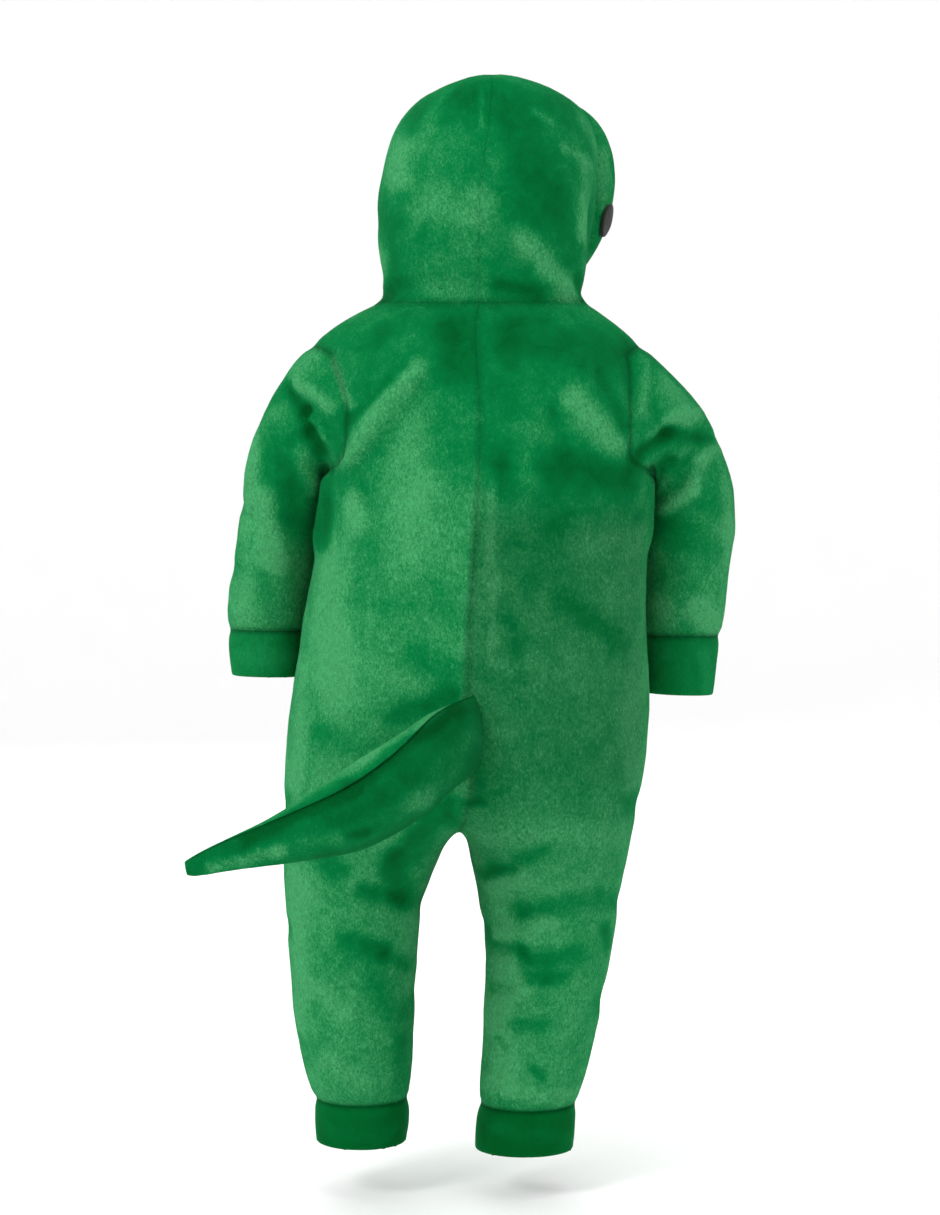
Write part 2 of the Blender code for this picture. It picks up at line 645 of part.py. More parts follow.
def add_eye(name, skin, tree, side, material, collection):
    """A thin oval patch that follows the band below it."""
    middle = band_middle(skin, side)
    middle.z = EYE_Z
    _, out = band_place(skin, tree, middle)
    centre, out = band_place(skin, tree, middle + side * EYE_FORWARD * out.cross(Vector((0, 0, 1))))
    along = Vector((0, 0, 1)).cross(out)
    flat = [centre]
    for i in range(EYE_POINTS):
        angle = 2 * math.pi * i / EYE_POINTS
        place = centre + along * (EYE_HALF_WIDTH * math.cos(angle))
        flat.append(place + Vector((0, 0, EYE_HALF_HEIGHT * math.sin(angle))))
    places = [hit(tree, place + out * OUTSIDE, -out) for place in flat]
    outer = {i: place + out * (EYE_GAP + EYE_THICKNESS) for i, place in enumerate(places)}
    inner = {i: place + out * EYE_GAP for i, place in enumerate(places)}
    faces = [[0, i + 1, (i + 1) % EYE_POINTS + 1] for i in range(EYE_POINTS)]
    add_wall(name, faces, outer, inner, material, collection)


def tail_frames(root):
    """(centre, up, across, ring) of each tail ring. across points to the tail's own left side."""
    centres = [root] + [Vector((ring.x, ring.y, ring.z)) for ring in TAIL]
    frames = []
    for i, ring in enumerate(TAIL, 1):
        along = (centres[min(i + 1, len(TAIL))] - centres[i - 1]).normalized()
        across = Vector((0, 0, 1)).cross(-along).normalized()
        up = (-along).cross(across)
        roll = math.radians(ring.roll)
        up, across = (
            up * math.cos(roll) - across * math.sin(roll),
            across * math.cos(roll) + up * math.sin(roll),
        )
        frames.append((centres[i], up, across, ring))
    return frames


def tail_half_rings(side, tree):
    """For each ring of one half, root to tip: its arc from the top seam round the side to the bottom
    seam, and its middle line from the same top point to the same bottom point."""
    angles = [math.pi * i / TAIL_ARC_STEPS for i in range(TAIL_ARC_STEPS + 1)]

    def on_back(x, z):
        return hit(tree, Vector((x, OUTSIDE, z)), Vector((0, -1, 0))) + Vector((0, TAIL_GAP, 0))

    root = []
    for wide in (math.sin, lambda angle: 0.0):
        root.append([
            on_back(
                TAIL_ROOT_X + side * (SEAM_GAP / 2 + TAIL_ROOT_HALF_WIDTH * wide(angle)),
                TAIL_ROOT_Z + TAIL_ROOT_HALF_HEIGHT * math.cos(angle),
            )
            for angle in angles
        ])
    rings = [root]
    for centre, up, across, ring in tail_frames((root[1][0] + root[1][-1]) / 2):
        rings.append([
            [
                centre + up * (ring.half_height * math.cos(angle))
                + across * side * (SEAM_GAP / 2 + ring.half_width * wide(angle))
                for angle in angles
            ]
            for wide in (math.sin, lambda angle: 0.0)
        ])
    return rings


def add_tail_half(name, side, tree, material, collection):
    """One stuffed half, closed by a face along the tail's middle."""
    mesh = bmesh.new()
    rings = []
    for arc, middle in tail_half_rings(side, tree):
        arc = new_row(mesh, arc)
        rings.append((arc, [arc[0]] + new_row(mesh, middle[1:-1]) + [arc[-1]]))
    for (near_arc, near_middle), (far_arc, far_middle) in zip(rings, rings[1:]):
        for i in range(TAIL_ARC_STEPS):
            mesh.faces.new((near_arc[i], near_arc[i + 1], far_arc[i + 1], far_arc[i]))
            mesh.faces.new((near_middle[i], near_middle[i + 1], far_middle[i + 1]))
            mesh.faces.new((near_middle[i], far_middle[i + 1], far_middle[i]))
    for arc, middle in (rings[0], rings[-1]):
        for i in range(TAIL_ARC_STEPS):
            corners = [arc[i], arc[i + 1], middle[i + 1], middle[i]]
            mesh.faces.new(list(dict.fromkeys(corners)))
    bmesh.ops.recalc_face_normals(mesh, faces=mesh.faces)
    link_object(name, mesh, material, collection)


def main():
    clear_scene()
    onesie = make_collection("onesie_pajamas")
    helpers = make_collection("onesie_pajamas_helpers")
    helpers.hide_render = True
    skin = make_skin(make_cage(), helpers)
    tree = BVHTree.FromBMesh(skin)
    skin.faces.ensure_lookup_table()
    for piece in PIECES:
        colour = CUFF_GREEN if "cuff" in piece else PLUSH_GREEN
        add_panel(piece, skin, make_material(piece, colour, PLUSH_ROUGHNESS), onesie)
    plush = make_material("placket", PLUSH_GREEN, PLUSH_ROUGHNESS)
    line = add_placket(front_line(skin), plush, onesie)
    step = (SNAP_TOP - SNAP_BOTTOM) / (SNAP_COUNT - 1)
    for i in range(SNAP_COUNT):
        name = f"snap_{i + 1}"
        place, out = on_line(line, SNAP_TOP - i * step)
        add_snap(name, place, out, make_material(name, SNAP_GREEN, SNAP_ROUGHNESS), onesie)
    for half, side in (("left", 1), ("right", -1)):
        eye = make_material(f"eye_{half}", EYE_BLACK, EYE_ROUGHNESS)
        add_eye(f"eye_{half}", skin, tree, side, eye, onesie)
        tail = make_material(f"tail_{half}", PLUSH_GREEN, PLUSH_ROUGHNESS)
        add_tail_half(f"tail_{half}", side, tree, tail, onesie)
    skin.free()


main()
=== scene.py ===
"""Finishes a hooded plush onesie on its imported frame: rounded cloth, creases, nap and snaps.

Metres, +Z up. The wearer faces -Y and the wearer's left is +X, so "back" strokes are seen from +Y.
"""

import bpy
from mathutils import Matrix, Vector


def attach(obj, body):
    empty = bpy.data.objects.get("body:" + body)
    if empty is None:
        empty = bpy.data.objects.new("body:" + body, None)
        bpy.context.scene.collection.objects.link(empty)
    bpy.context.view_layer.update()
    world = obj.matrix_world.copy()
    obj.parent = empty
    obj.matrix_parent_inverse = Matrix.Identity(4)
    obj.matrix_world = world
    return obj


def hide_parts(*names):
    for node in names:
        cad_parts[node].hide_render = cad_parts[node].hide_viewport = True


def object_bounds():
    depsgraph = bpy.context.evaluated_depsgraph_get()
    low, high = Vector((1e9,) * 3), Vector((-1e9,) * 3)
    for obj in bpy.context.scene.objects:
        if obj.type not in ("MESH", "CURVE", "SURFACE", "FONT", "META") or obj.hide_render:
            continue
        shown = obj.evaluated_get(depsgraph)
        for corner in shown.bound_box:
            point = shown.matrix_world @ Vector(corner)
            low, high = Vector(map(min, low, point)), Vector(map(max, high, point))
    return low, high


bl_info = {
    "name": "Plush onesie finish",
    "version": (1, 0, 0),
    "blender": (4, 5, 0),
    "location": "3D Viewport > Sidebar > Onesie",
    "description": "Gives a hooded plush onesie its rounded cloth, creases, nap, snaps and studio",
    "category": "Object",
}

import math
from collections import namedtuple

import bmesh
import bpy
import numpy as np
from bpy.props import FloatProperty, FloatVectorProperty, IntProperty, PointerProperty
from mathutils import Matrix, Vector, noise
from mathutils.bvhtree import BVHTree
from mathutils.kdtree import KDTree

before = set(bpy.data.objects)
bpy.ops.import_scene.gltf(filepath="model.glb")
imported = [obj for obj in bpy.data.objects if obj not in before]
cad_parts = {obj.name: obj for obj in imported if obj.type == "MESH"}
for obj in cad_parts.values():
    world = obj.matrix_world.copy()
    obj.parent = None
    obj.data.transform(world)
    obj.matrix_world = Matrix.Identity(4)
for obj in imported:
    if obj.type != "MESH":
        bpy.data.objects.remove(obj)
CAD_LOW, CAD_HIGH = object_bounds()

SKIN = "onesie_skin"
OUT = "out"
MILLIMETRES = 1000
# Points this near are one point, an edge this close to the wall's thickness crosses the rim, and
# the edges of two cut pieces this near are sewn together.
MERGE = 0.00001
WALL_TOLERANCE = 0.000001
WELD_SEAMS = 0.0009
# In degrees: triangles that differ by less are joined, and an edge that turns by more stays hard.
SKIN_JOIN_ANGLE = 60
PIECE_JOIN_ANGLE = 50
HARD_ANGLE = 50
# How often the placket and the patches are subdivided.
SMALL_ROUNDING = 2

# The cut pieces of the skin, and the group whose creases each one takes.
GROUPS = {
    "back_left": "body", "back_right": "body", "front_left": "body", "front_right": "body",
    "sleeve_left": "sleeve_left", "sleeve_right": "sleeve_right",
    "cuff_sleeve_left": "cuff", "cuff_sleeve_right": "cuff",
    "cuff_leg_left": "cuff", "cuff_leg_right": "cuff",
    "hood_left": "hood", "hood_right": "hood", "hood_band": "band",
}
PIECES = tuple(GROUPS)

# How two groups are sewn to each other: how far the seam pulls the cloth in, how far from the seam
# that reaches, and how much painted shade darkens the pile along it.
Seam = namedtuple("Seam", "dip reach shade")
SEAMS = {
    ("body", "body"): Seam(0.0005, 0.0035, 0.20),
    ("body", "sleeve_left"): Seam(0.0014, 0.0055, 0.42),
    ("body", "sleeve_right"): Seam(0.0014, 0.0055, 0.42),
    ("body", "hood"): Seam(0.0014, 0.0060, 0.30),
    ("band", "body"): Seam(0.0010, 0.0050, 0.40),
    ("band", "hood"): Seam(0.0010, 0.0045, 0.45),
    ("hood", "hood"): Seam(0.0003, 0.0030, 0.06),
    ("body", "cuff"): Seam(0.0014, 0.0040, 0.50),
    ("cuff", "sleeve_left"): Seam(0.0014, 0.0040, 0.50),
    ("cuff", "sleeve_right"): Seam(0.0014, 0.0040, 0.50),
}

# The fields of a piece's flat cut, which no step here fills in. A cuff is cut as one strip and
# closed to a tube.
Cut = namedtuple("Cut", "width length area held sewn_to")

# The side that each view sees: the two axes across it, and the direction towards the viewer.
View = namedtuple("View", "across up towards")
VIEWS = {
    "back": View(0, 2, (0.0, 1.0, 0.0)),
    "front": View(0, 2, (0.0, -1.0, 0.0)),
    "left": View(1, 2, (1.0, 0.0, 0.0)),
    "right": View(1, 2, (-1.0, 0.0, 0.0)),
}

# Creases and brushed strokes in the pile of each group, as each view sees them, in millimetres.
# across_1, up_1 to across_2, up_2 is the line that one follows, width is from that line to where
# it is gone, depth is how far it stands out (a negative one is a trough), and tone is how light (1)
# or dark (-1) the pile is painted there: partly the brushed pile's own tone, and partly painted
# highlight on ridges and outer edges and painted shade in troughs, under the tail and between
# the sleeves and the body.
Stroke = namedtuple("Stroke", "across_1 up_1 across_2 up_2 width depth tone")
STROKES = {
    "hood": {
        "back": (
            (55, 102, 56, 80, 13, 0.3, 0.9), (28, 137, 43, 102, 9, 0.5, 0.35),
            (33, 62, 5, 60, 20, 0.6, 0.55), (49, 57, 49, 48, 9, 0, 0.35),
            (-25, 41, -57, 7, 14, 1.5, 0.75), (-67, 93, -66, 45, 8, 1, 0.7),
            (3, 136, 2, 112, 3, 0.4, 0.45), (-33, 123, -43, 118, 5, 0, 0.55),
            (-54, 101, -64, 98, 6, 0, 0.55), (-24, 112, -33, 66, 24, 0, -0.5),
            (-50, 75, -46, 55, 14, 0, -0.3), (56, 9, 3, 7, 10, -0.6, 0.3),
            (-9, 8, -37, 4, 9, -2.2, -0.5), (-4, 16, -52, 10, 9, 1.5, 0),
            (40, 132, -50, 126, 20, 0, -0.35), (-74, 70, -67, 28, 6, -2, -0.4),
        ),
        "left": (
            (30, 10, -40, 0, 12, -2, -0.5), (20, 85, 0, 120, 18, 0.8, 0.6),
            (-20, 50, 10, 30, 14, 1.2, 0.6), (-30, 90, -40, 60, 16, -1.2, -0.6),
        ),
        "right": (
            (30, 60, 10, 30, 14, 1.2, 0.5), (20, 14, -24, 0, 12, -2, -0.6),
            (20, 120, -10, 100, 16, 0, 0.5),
        ),
    },
    "band": {
        "back": (
            (-82, 110, -84, 75, 10, 1, 0.7),
        ),
        "front": (
            (50, 110, 52, 60, 12, 0.8, 0.5), (-80, 120, -70, 150, 14, 0, -0.5),
        ),
        "left": (
            (-60, 130, -70, 50, 10, 0.8, 0.5),
        ),
    },
    "body": {
        "back": (
            (42, -46, 94, -104, 11, 3.4, 0.75), (50, -42, 88, -80, 5, -1.4, -0.2),
            (38, -64, 84, -112, 11, -2.2, -0.1), (102, -40, 87, -69, 6, 1.8, 0.9),
            (98, -46, 76, -66, 13, -1.6, 0.1), (49, -112, 46, -165, 28, 0.8, 0.6),
            (87, -132, 83, -148, 12, 3, 0.9), (97, -114, 78, -126, 11, -2.6, 0),
            (40, -62, 52, -96, 16, 0, 0.35), (21, -16, 20, -46, 18, 0, -0.6),
            (-58, -64, -86, -98, 14, 1.8, 0.9), (-32, -64, -32, -114, 15, 0.8, 0.1),
            (-44, -72, -54, -100, 8, -1.2, -0.4), (-76, -46, -92, -82, 7, -1.4, -0.5),
            (-49, -111, -96, -113, 24, -1, -0.7), (-60, -156, -99, -157, 18, 0.6, 0.3),
            (-18, -26, -90, -31, 24, 0, -0.5), (-10, -104, -14, -122, 16, 0, -0.7),
            (-4, -110, -4, -235, 4, 0.4, 0.6), (82, -196, 62, -198, 10, -0.8, -0.3),
            (-50, -195, -89, -222, 13, -0.8, -0.45), (-14, -195, -23, -246, 9, 0, -0.3),
            (101, -222, 97, -261, 18, 1, 0.5), (42, -232, 20, -246, 18, 0, -0.45),
            # (108, -120) to (107, -160) is painted shade between the left sleeve and the body.
            (104, -165, 98, -245, 22, 0, 0.7), (108, -120, 107, -160, 8, 0, -1.2),
            # (4, -266) to (0, -326) is painted shade beside the tail's root.
            (4, -266, 0, -326, 7, 0, -0.5), (112, -352, 98, -372, 14, 0, -0.6),
            (92, -420, 70, -430, 13, 0, -0.6), (-10, -388, -14, -520, 13, 0, 0.55),
            (57, -268, 23, -258, 12, -1.2, -0.7), (112, -286, 77, -292, 12, 0, -0.35),
            (122, -238, 126, -316, 11, 0.8, 0.7), (-100, -237, -98, -316, 12, 0, 0.3),
            # The two strokes on the next line are painted shadow under the tail, laid over creases.
            (33, -334, 50, -362, 18, -1.4, -0.9), (62, -366, 52, -392, 14, -1.6, -0.9),
            (21, -326, 20, -344, 9, -1.6, -0.7), (11, -330, 0, -326, 5, -1.8, -0.8),
            (79, -387, 54, -398, 10, -1.4, -0.8), (66, -433, 52, -440, 9, -1, -0.6),
            (74, -447, 54, -486, 16, 0, -0.35), (114, -453, 95, -471, 12, 0.8, 0.45),
            (125, -383, 122, -465, 12, 0.6, 0.6), (56, -492, 54, -528, 9, 0, -0.35),
            (100, -505, 80, -520, 14, 0.6, 0.35), (-4, -347, -83, -352, 15, 0.6, 0.35),
            (-21, -367, -40, -360, 10, -1.2, -0.6), (3, -377, -14, -375, 9, -1.2, -0.9),
            (-6, -384, -24, -380, 8, 1, 0.7), (-28, -400, -76, -393, 12, -1.6, -0.6),
            (-16, -411, -44, -409, 8, 0.8, 0.5), (-7, -430, -22, -427, 9, -1.4, -0.7),
            (-25, -435, -60, -432, 12, -1.6, -0.7), (-7, -421, -32, -418, 6, 1, 0.6),
            (-29, -448, -53, -444, 7, -0.8, -0.7), (-6, -459, -15, -456, 7, -0.8, -0.7),
            (-21, -457, -34, -451, 6, 0.6, 0.5), (-21, -480, -39, -476, 9, -0.8, -0.6),
            (-9, -491, -14, -496, 6, -0.6, -0.7), (-32, -507, -39, -512, 7, -0.4, -0.6),
            (-81, -417, -84, -428, 7, -0.8, -0.8), (-4, -523, -60, -530, 10, 0.6, 0.45),
        ),
        "front": (
            (44, -48, 90, -102, 11, 2.6, 0.8), (96, -116, 66, -126, 12, -2.4, -0.6),
            (60, -140, 50, -190, 26, 0.8, 0.5), (-46, -50, -86, -94, 12, 2.2, 0.8),
            (-92, -110, -58, -118, 12, -2.2, -0.6), (-60, -150, -70, -210, 22, 0.6, 0.5),
            (30, -30, 70, -30, 20, 0, -0.4), (-30, -34, -80, -34, 18, 0, -0.4),
            (90, -230, 50, -250, 14, -1.2, -0.5), (-44, -236, -92, -222, 14, -1.2, -0.5),
            (46, -340, 90, -326, 14, -2, -0.8), (-10, -336, -58, -322, 14, -2, -0.8),
            (52, -372, 94, -364, 12, -1.4, -0.6), (60, -388, 110, -384, 12, 1.2, 0.5),
            (-6, -382, -60, -372, 12, -1.4, -0.7), (-16, -398, -72, -392, 12, 1.2, 0.5),
            (62, -430, 104, -424, 11, -1.4, -0.7), (70, -470, 110, -476, 12, -1, -0.5),
            (-12, -446, -56, -438, 11, -1.4, -0.7), (-20, -492, -60, -486, 12, -1, -0.5),
        ),
        "left": (
            (12, -108, 10, -150, 21, 4.2, 0), (-10, -250, 10, -300, 22, 0.8, 0.5),
            (30, -330, -30, -345, 13, -1.2, -0.6), (-20, -410, 20, -420, 12, -1.2, -0.5),
            (20, -480, -20, -470, 16, 0.8, 0.5),
        ),
        "right": (
            (12, -108, 10, -148, 21, 4.2, 0), (10, -250, -20, -290, 22, 0.8, 0.4),
            (-30, -340, 34, -330, 13, -1.4, -0.6), (24, -400, -24, -408, 12, -1.2, -0.6),
            (-20, -460, 20, -470, 14, -1, -0.4),
        ),
    },
    "sleeve_left": {
        "back": (
            (115, -30, 129, -46, 11, 0.8, 0.6), (124, -52, 100, -71, 7, 2.6, 0.9),
            (132, -52, 120, -72, 7, -3.2, -0.9), (120, -72, 118, -86, 7, -4, -1),
            (117, -77, 105, -88, 5, 2.2, 0.6), (114, -86, 108, -99, 9, -3.4, -1),
            (138, -96, 126, -146, 16, -2.6, -0.4), (124, -104, 116, -118, 10, 1.6, 0.3),
            (158, -90, 164, -150, 12, 1.2, 0.9), (152, -132, 142, -170, 15, 2, 1.1),
            (163, -172, 162, -206, 18, 0.6, 0.5), (124, -158, 118, -196, 14, -1, 0.2),
        ),
        "front": (
            (126, -60, 104, -78, 9, 2.2, 0.7), (132, -84, 108, -98, 10, -3, -0.8),
            (160, -120, 126, -132, 11, -3, -0.8), (162, -138, 130, -152, 11, 2.2, 0.7),
            (168, -172, 134, -178, 11, -1.6, -0.5),
        ),
        "right": (
            (-32, -108, -42, -150, 19, 3.6, 0),
        ),
        "left": (
            (10, -70, -10, -110, 14, 1, 0.5), (-30, -130, 0, -138, 11, -1.6, -0.6),
            (-40, -180, -10, -176, 12, -1.2, -0.5),
        ),
    },
    "sleeve_right": {
        "back": (
            (-108, -40, -105, -74, 6, 1.2, 0.6), (-121, -54, -137, -74, 14, 0.8, 0.6),
            (-104, -103, -122, -85, 8, -4.4, -1), (-122, -85, -150, -88, 8, -2.4, -0.5),
            (-109, -93, -124, -76, 5, 2, 0.7), (-124, -77, -147, -70, 7, 1.6, 0.6),
            (-110, -116, -123, -104, 9, -4.4, -1), (-112, -108, -136, -94, 6, 1.6, 0.2),
            (-120, -137, -139, -122, 8, 2, 0.8), (-139, -122, -147, -103, 8, 1.8, 0.7),
            (-147, -103, -160, -94, 9, 1.4, 0.6), (-130, -112, -138, -104, 10, -1.4, -0.1),
            (-116, -146, -146, -158, 15, -2.2, -0.3), (-166, -104, -168, -172, 10, 0, 0.5),
            (-124, -174, -140, -194, 14, -1, 0), (-146, -204, -158, -215, 13, 0.8, 0.8),
            (-118, -198, -130, -210, 10, 0, 0.4),
        ),
        "front": (
            (-124, -60, -104, -80, 9, 2.2, 0.7), (-152, -88, -116, -106, 11, -3.4, -0.9),
            (-162, -120, -122, -128, 11, -2.8, -0.8), (-160, -104, -130, -116, 8, 1.8, 0.6),
            (-160, -150, -124, -158, 12, 1.6, 0.5), (-156, -186, -120, -182, 12, -1.4, -0.5),
        ),
        "left": (
            (-32, -108, -44, -148, 19, 3.6, 0),
        ),
        "right": (
            (-20, -90, -34, -110, 12, -1.6, -0.6), (-50, -150, -10, -146, 14, 0.8, 0.5),
        ),
    },
    "cuff": {
        "back": (
            # The first stroke is painted shade across the leg cuffs.
            (110, -557, -60, -557, 40, 0, -1.2), (100, -556, 64, -553, 10, 0, 0.35),
            (-6, -550, -54, -560, 9, 0.4, 0.4), (166, -234, 130, -238, 10, 0, 0.4),
            (-150, -236, -154, -258, 8, 0, 0.5),
        ),
        "front": (
            (100, -550, 60, -556, 9, 0, 0.4), (-10, -556, -50, -552, 9, 0, 0.4),
        ),
    },
    "tail": {
        "back": (
            # The first two strokes are painted highlight along the tail's top.
            (30, -262, 76, -288, 8, 0.5, 0.9), (76, -288, 140, -328, 7, 0.5, 0.6),
            (20, -262, 84, -308, 9, -0.3, -0.7), (84, -308, 146, -338, 10, -0.3, -0.8),
            (6, -280, 40, -318, 16, 0.6, 0.5), (40, -318, 90, -340, 13, 0.6, 0.5),
            (90, -340, 128, -349, 10, 0.4, 0.4), (128, -349, 171, -357, 8, 0, 0.9),
            (74, -334, 86, -337, 6, -0.5, -0.6),
        ),
    },
}

# Where the cloth of all the pieces is pulled up or down round a place, and how far that reaches.
Pull = namedtuple("Pull", "x y z reach rise")
PULLS = (
    Pull(0.015, 0.000, -0.352, 0.030, 0.0060),
    Pull(0.107, -0.010, -0.106, 0.022, -0.0095),
    Pull(-0.112, -0.010, -0.108, 0.022, -0.0095),
)

# The pile is brushed lighter below the waist than above it.
HEIGHT_TONE = 0.52
LIGHT_BELOW = -0.24
DARK_ABOVE = -0.06
# Painted shade on a back panel, where the light falls off across the back: rows of (height, share
# of light lost).
PAINTED_PANEL_SHADE = {
    "back_right": ((-0.420, 0.0), (-0.345, 0.18), (-0.300, 0.34), (-0.150, 0.34), (-0.115, 0.0)),
}

# How fast strokes fade where the cloth turns from their view, and how they wander off their line.
FACING_SHARPNESS = 2.0
STROKE_WANDER = 0.0035
STROKE_WANDER_LENGTH = 0.030
# Each axis reads its own part of the noise. noise_vector isn't used, as it changes from run to run.
WANDER_OFFSETS = (Vector((9, -1, -7)), Vector((-3, 17, 5)), Vector((13, 4, 21)))

# The finer lumps on the ripples, as shares of the ripples' length and height.
LUMP_LENGTH = 0.3
LUMP_HEIGHT = 0.35
LUMP_OFFSET = Vector((7, 3, 5))

# A snap's profile from its middle outwards, as shares of its radius and thickness.
SNAP_PROFILE = (
    (0.00, 0.62), (0.30, 0.62), (0.38, 0.74), (0.46, 0.93), (0.56, 1.00), (0.74, 1.00),
    (0.88, 0.88), (0.96, 0.66), (1.00, 0.40), (1.00, 0.12), (0.95, 0.00), (0.00, 0.00),
)
SNAP_STEPS = 32


def length_property(name, description, default):
    return FloatProperty(name=name, description=description, default=default, unit="LENGTH")


def colour_property(name, description, default):
    return FloatVectorProperty(
        name=name, description=description, subtype="COLOR", size=4, default=(*default, 1.0))


class OnesieClothSettings(bpy.types.PropertyGroup):
    """Sizes of the cloth's wall, seams and creases."""

    wall: length_property("Wall", "Thickness of the plush cloth", 0.003)
    rounding: IntProperty(
        name="Rounding", description="Subdivisions of the skin", default=2, min=1, max=3)
    seam_gap: length_property("Seam gap", "Space between two pieces at a seam", 0.00004)
    seam_round: length_property("Seam rounding", "Roll of the edges at a seam", 0.0002)
    hem_round: length_property("Hem rounding", "Roll of the open edges", 0.0013)
    crease_share: FloatProperty(
        name="Creases", description="Strength of all the creases", default=1.0, subtype="FACTOR")
    ripple_height: length_property("Ripple height", "Height of the soft unevenness", 0.0007)
    ripple_length: length_property("Ripple length", "Length of the soft unevenness", 0.028)


class OnesiePlushSettings(bpy.types.PropertyGroup):
    """Colours and finish of the plush, its backing, the snaps and the patches."""

    dark: colour_property("Dark nap", "Pile brushed away from the light", (0.0001, 0.078, 0.014))
    middle: colour_property("Middle nap", "Pile that lies across", (0.0008, 0.168, 0.042))
    light: colour_property("Light nap", "Pile brushed towards the light", (0.048, 0.285, 0.104))
    cuff_dark: colour_property("Dark cuff", "Dark nap of the cuffs", (0.0002, 0.078, 0.012))
    cuff_middle: colour_property("Middle cuff", "Middle nap of the cuffs", (0.0006, 0.125, 0.028))
    cuff_light: colour_property("Light cuff", "Light nap of the cuffs", (0.006, 0.175, 0.048))
    backing: colour_property("Backing", "Knitted inner side", (0.020, 0.250, 0.080))
    snap: colour_property("Snap", "Moulded snap buttons", (0.008, 0.180, 0.045))
    patch: colour_property("Patch", "Oval patches on the band", (0.006, 0.008, 0.006))
    thread: colour_property("Thread", "Sewing thread", (0.010, 0.220, 0.060))
    sheen: FloatProperty(
        name="Sheen", description="Glow of the fibre tips at the edges", default=0.08,
        subtype="FACTOR")


class OnesieStageSettings(bpy.types.PropertyGroup):
    """Camera, lights and floor."""

    camera: FloatVectorProperty(
        name="Camera", description="Place of the camera", subtype="TRANSLATION",
        default=(0.0089, 1.8, -0.1423))
    lens: FloatProperty(
        name="Lens", description="Focal length in millimetres on a 36 mm sensor", default=78.87)
    aim: FloatVectorProperty(
        name="Aim", description="Point in the middle of the view", subtype="TRANSLATION",
        default=(0.0094, 0.0, -0.2025))
    floor_drop: length_property("Floor drop", "Floor below the lower hem", 0.030)
    floor: colour_property("Floor", "Colour of floor and backdrop", (0.99, 0.99, 0.99))
    daylight: FloatProperty(
        name="Daylight", description="Strength of the even light from all round", default=0.88)


def cloth():
    return bpy.context.scene.onesie_cloth


def plush():
    return bpy.context.scene.onesie_plush


def smooth_edge(away):
    """1 on the line, 0 from a distance of 1 on, and soft at both ends."""
    return np.where(away < 1, (1 - np.minimum(away, 1) ** 2) ** 2, 0.0)


def mesh_arrays(mesh):
    """The mesh's points and normals as arrays."""
    points = np.empty(len(mesh.vertices) * 3, np.float32)
    normals = np.empty(len(mesh.vertices) * 3, np.float32)
    mesh.vertices.foreach_get("co", points)
    mesh.vertex_normals.foreach_get("vector", normals)
    return points.reshape(-1, 3).astype(float), normals.reshape(-1, 3).astype(float)


def set_points(mesh, points):
    mesh.vertices.foreach_set("co", points.astype(np.float32).ravel())
    mesh.update()


def set_attribute(mesh, name, values):
    layer = mesh.attributes.get(name) or mesh.attributes.new(name, "FLOAT", "POINT")
    layer.data.foreach_set("value", np.asarray(values, np.float32))


def wandered(points):
    """The points pushed about a little, so that no stroke has a ruled edge."""
    moved = points.copy()
    for i, point in enumerate(points):
        place = Vector(point) / STROKE_WANDER_LENGTH
        push = [noise.noise(place + offset) for offset in WANDER_OFFSETS]
        moved[i] += np.array(push) * STROKE_WANDER
    return moved


def stroke_sums(points, normals, strokes):
    """The strokes' total depth and tone at each point."""
    depth, tone = np.zeros(len(points)), np.zeros(len(points))
    wander = wandered(points)
    for view_name, rows in strokes.items():
        view = VIEWS[view_name]
        flat = wander[:, (view.across, view.up)]
        facing = np.clip(FACING_SHARPNESS * normals @ np.array(view.towards), 0, 1)
        for row in rows:
            stroke = Stroke(*(part / MILLIMETRES for part in row[:-1]), row[-1])
            start = np.array((stroke.across_1, stroke.up_1))
            along = np.array((stroke.across_2, stroke.up_2)) - start
            share = np.clip((flat - start) @ along / (along @ along), 0, 1)
            away = np.linalg.norm(flat - start - share[:, None] * along, axis=1) / stroke.width
            amount = smooth_edge(away) * facing
            depth += stroke.depth * amount
            tone += stroke.tone * amount
    return depth, tone


def ripples(points):
    """Soft unevenness of stuffed plush, and finer lumps of pile on it, from -1 to 1."""
    length = cloth().ripple_length
    wave = [noise.noise(Vector(point) / length) for point in points]
    lump = [noise.noise(Vector(point) / (LUMP_LENGTH * length) + LUMP_OFFSET) for point in points]
    return np.array(wave) + LUMP_HEIGHT * np.array(lump)


def merged_copy(node):
    """A CAD node's mesh as one closed surface."""
    mesh = bmesh.new()
    mesh.from_mesh(node.data)
    bmesh.ops.remove_doubles(mesh, verts=mesh.verts, dist=MERGE)
    mesh.normal_update()
    return mesh


def quads(mesh, limit):
    bmesh.ops.join_triangles(
        mesh, faces=mesh.faces, cmp_materials=True, angle_face_threshold=math.radians(limit),
        angle_shape_threshold=math.radians(limit))


def outer_side(node, wall):
    """Only the outward faces of a wall, whose rim's faces have edges as long as it is thick."""
    mesh = merged_copy(node)
    broad = {
        face for face in mesh.faces
        if all(abs(edge.calc_length() - wall) > WALL_TOLERANCE for edge in face.edges)
    }
    sides = []
    while broad:
        side, ahead = set(), [broad.pop()]
        while ahead:
            face = ahead.pop()
            side.add(face)
            near = {other for edge in face.edges for other in edge.link_faces} & broad
            broad -= near
            ahead.extend(near)
        sides.append(side)

    def outwardness(side):
        middle = sum((face.calc_center_median() for face in side), Vector()) / len(side)
        return sum(
            face.calc_area() * face.normal.dot(face.calc_center_median() - middle) for face in side)

    outer = max(sorted(sides, key=len)[-2:], key=outwardness)
    bmesh.ops.delete(mesh, geom=[face for face in mesh.faces if face not in outer], context="FACES")
    return mesh


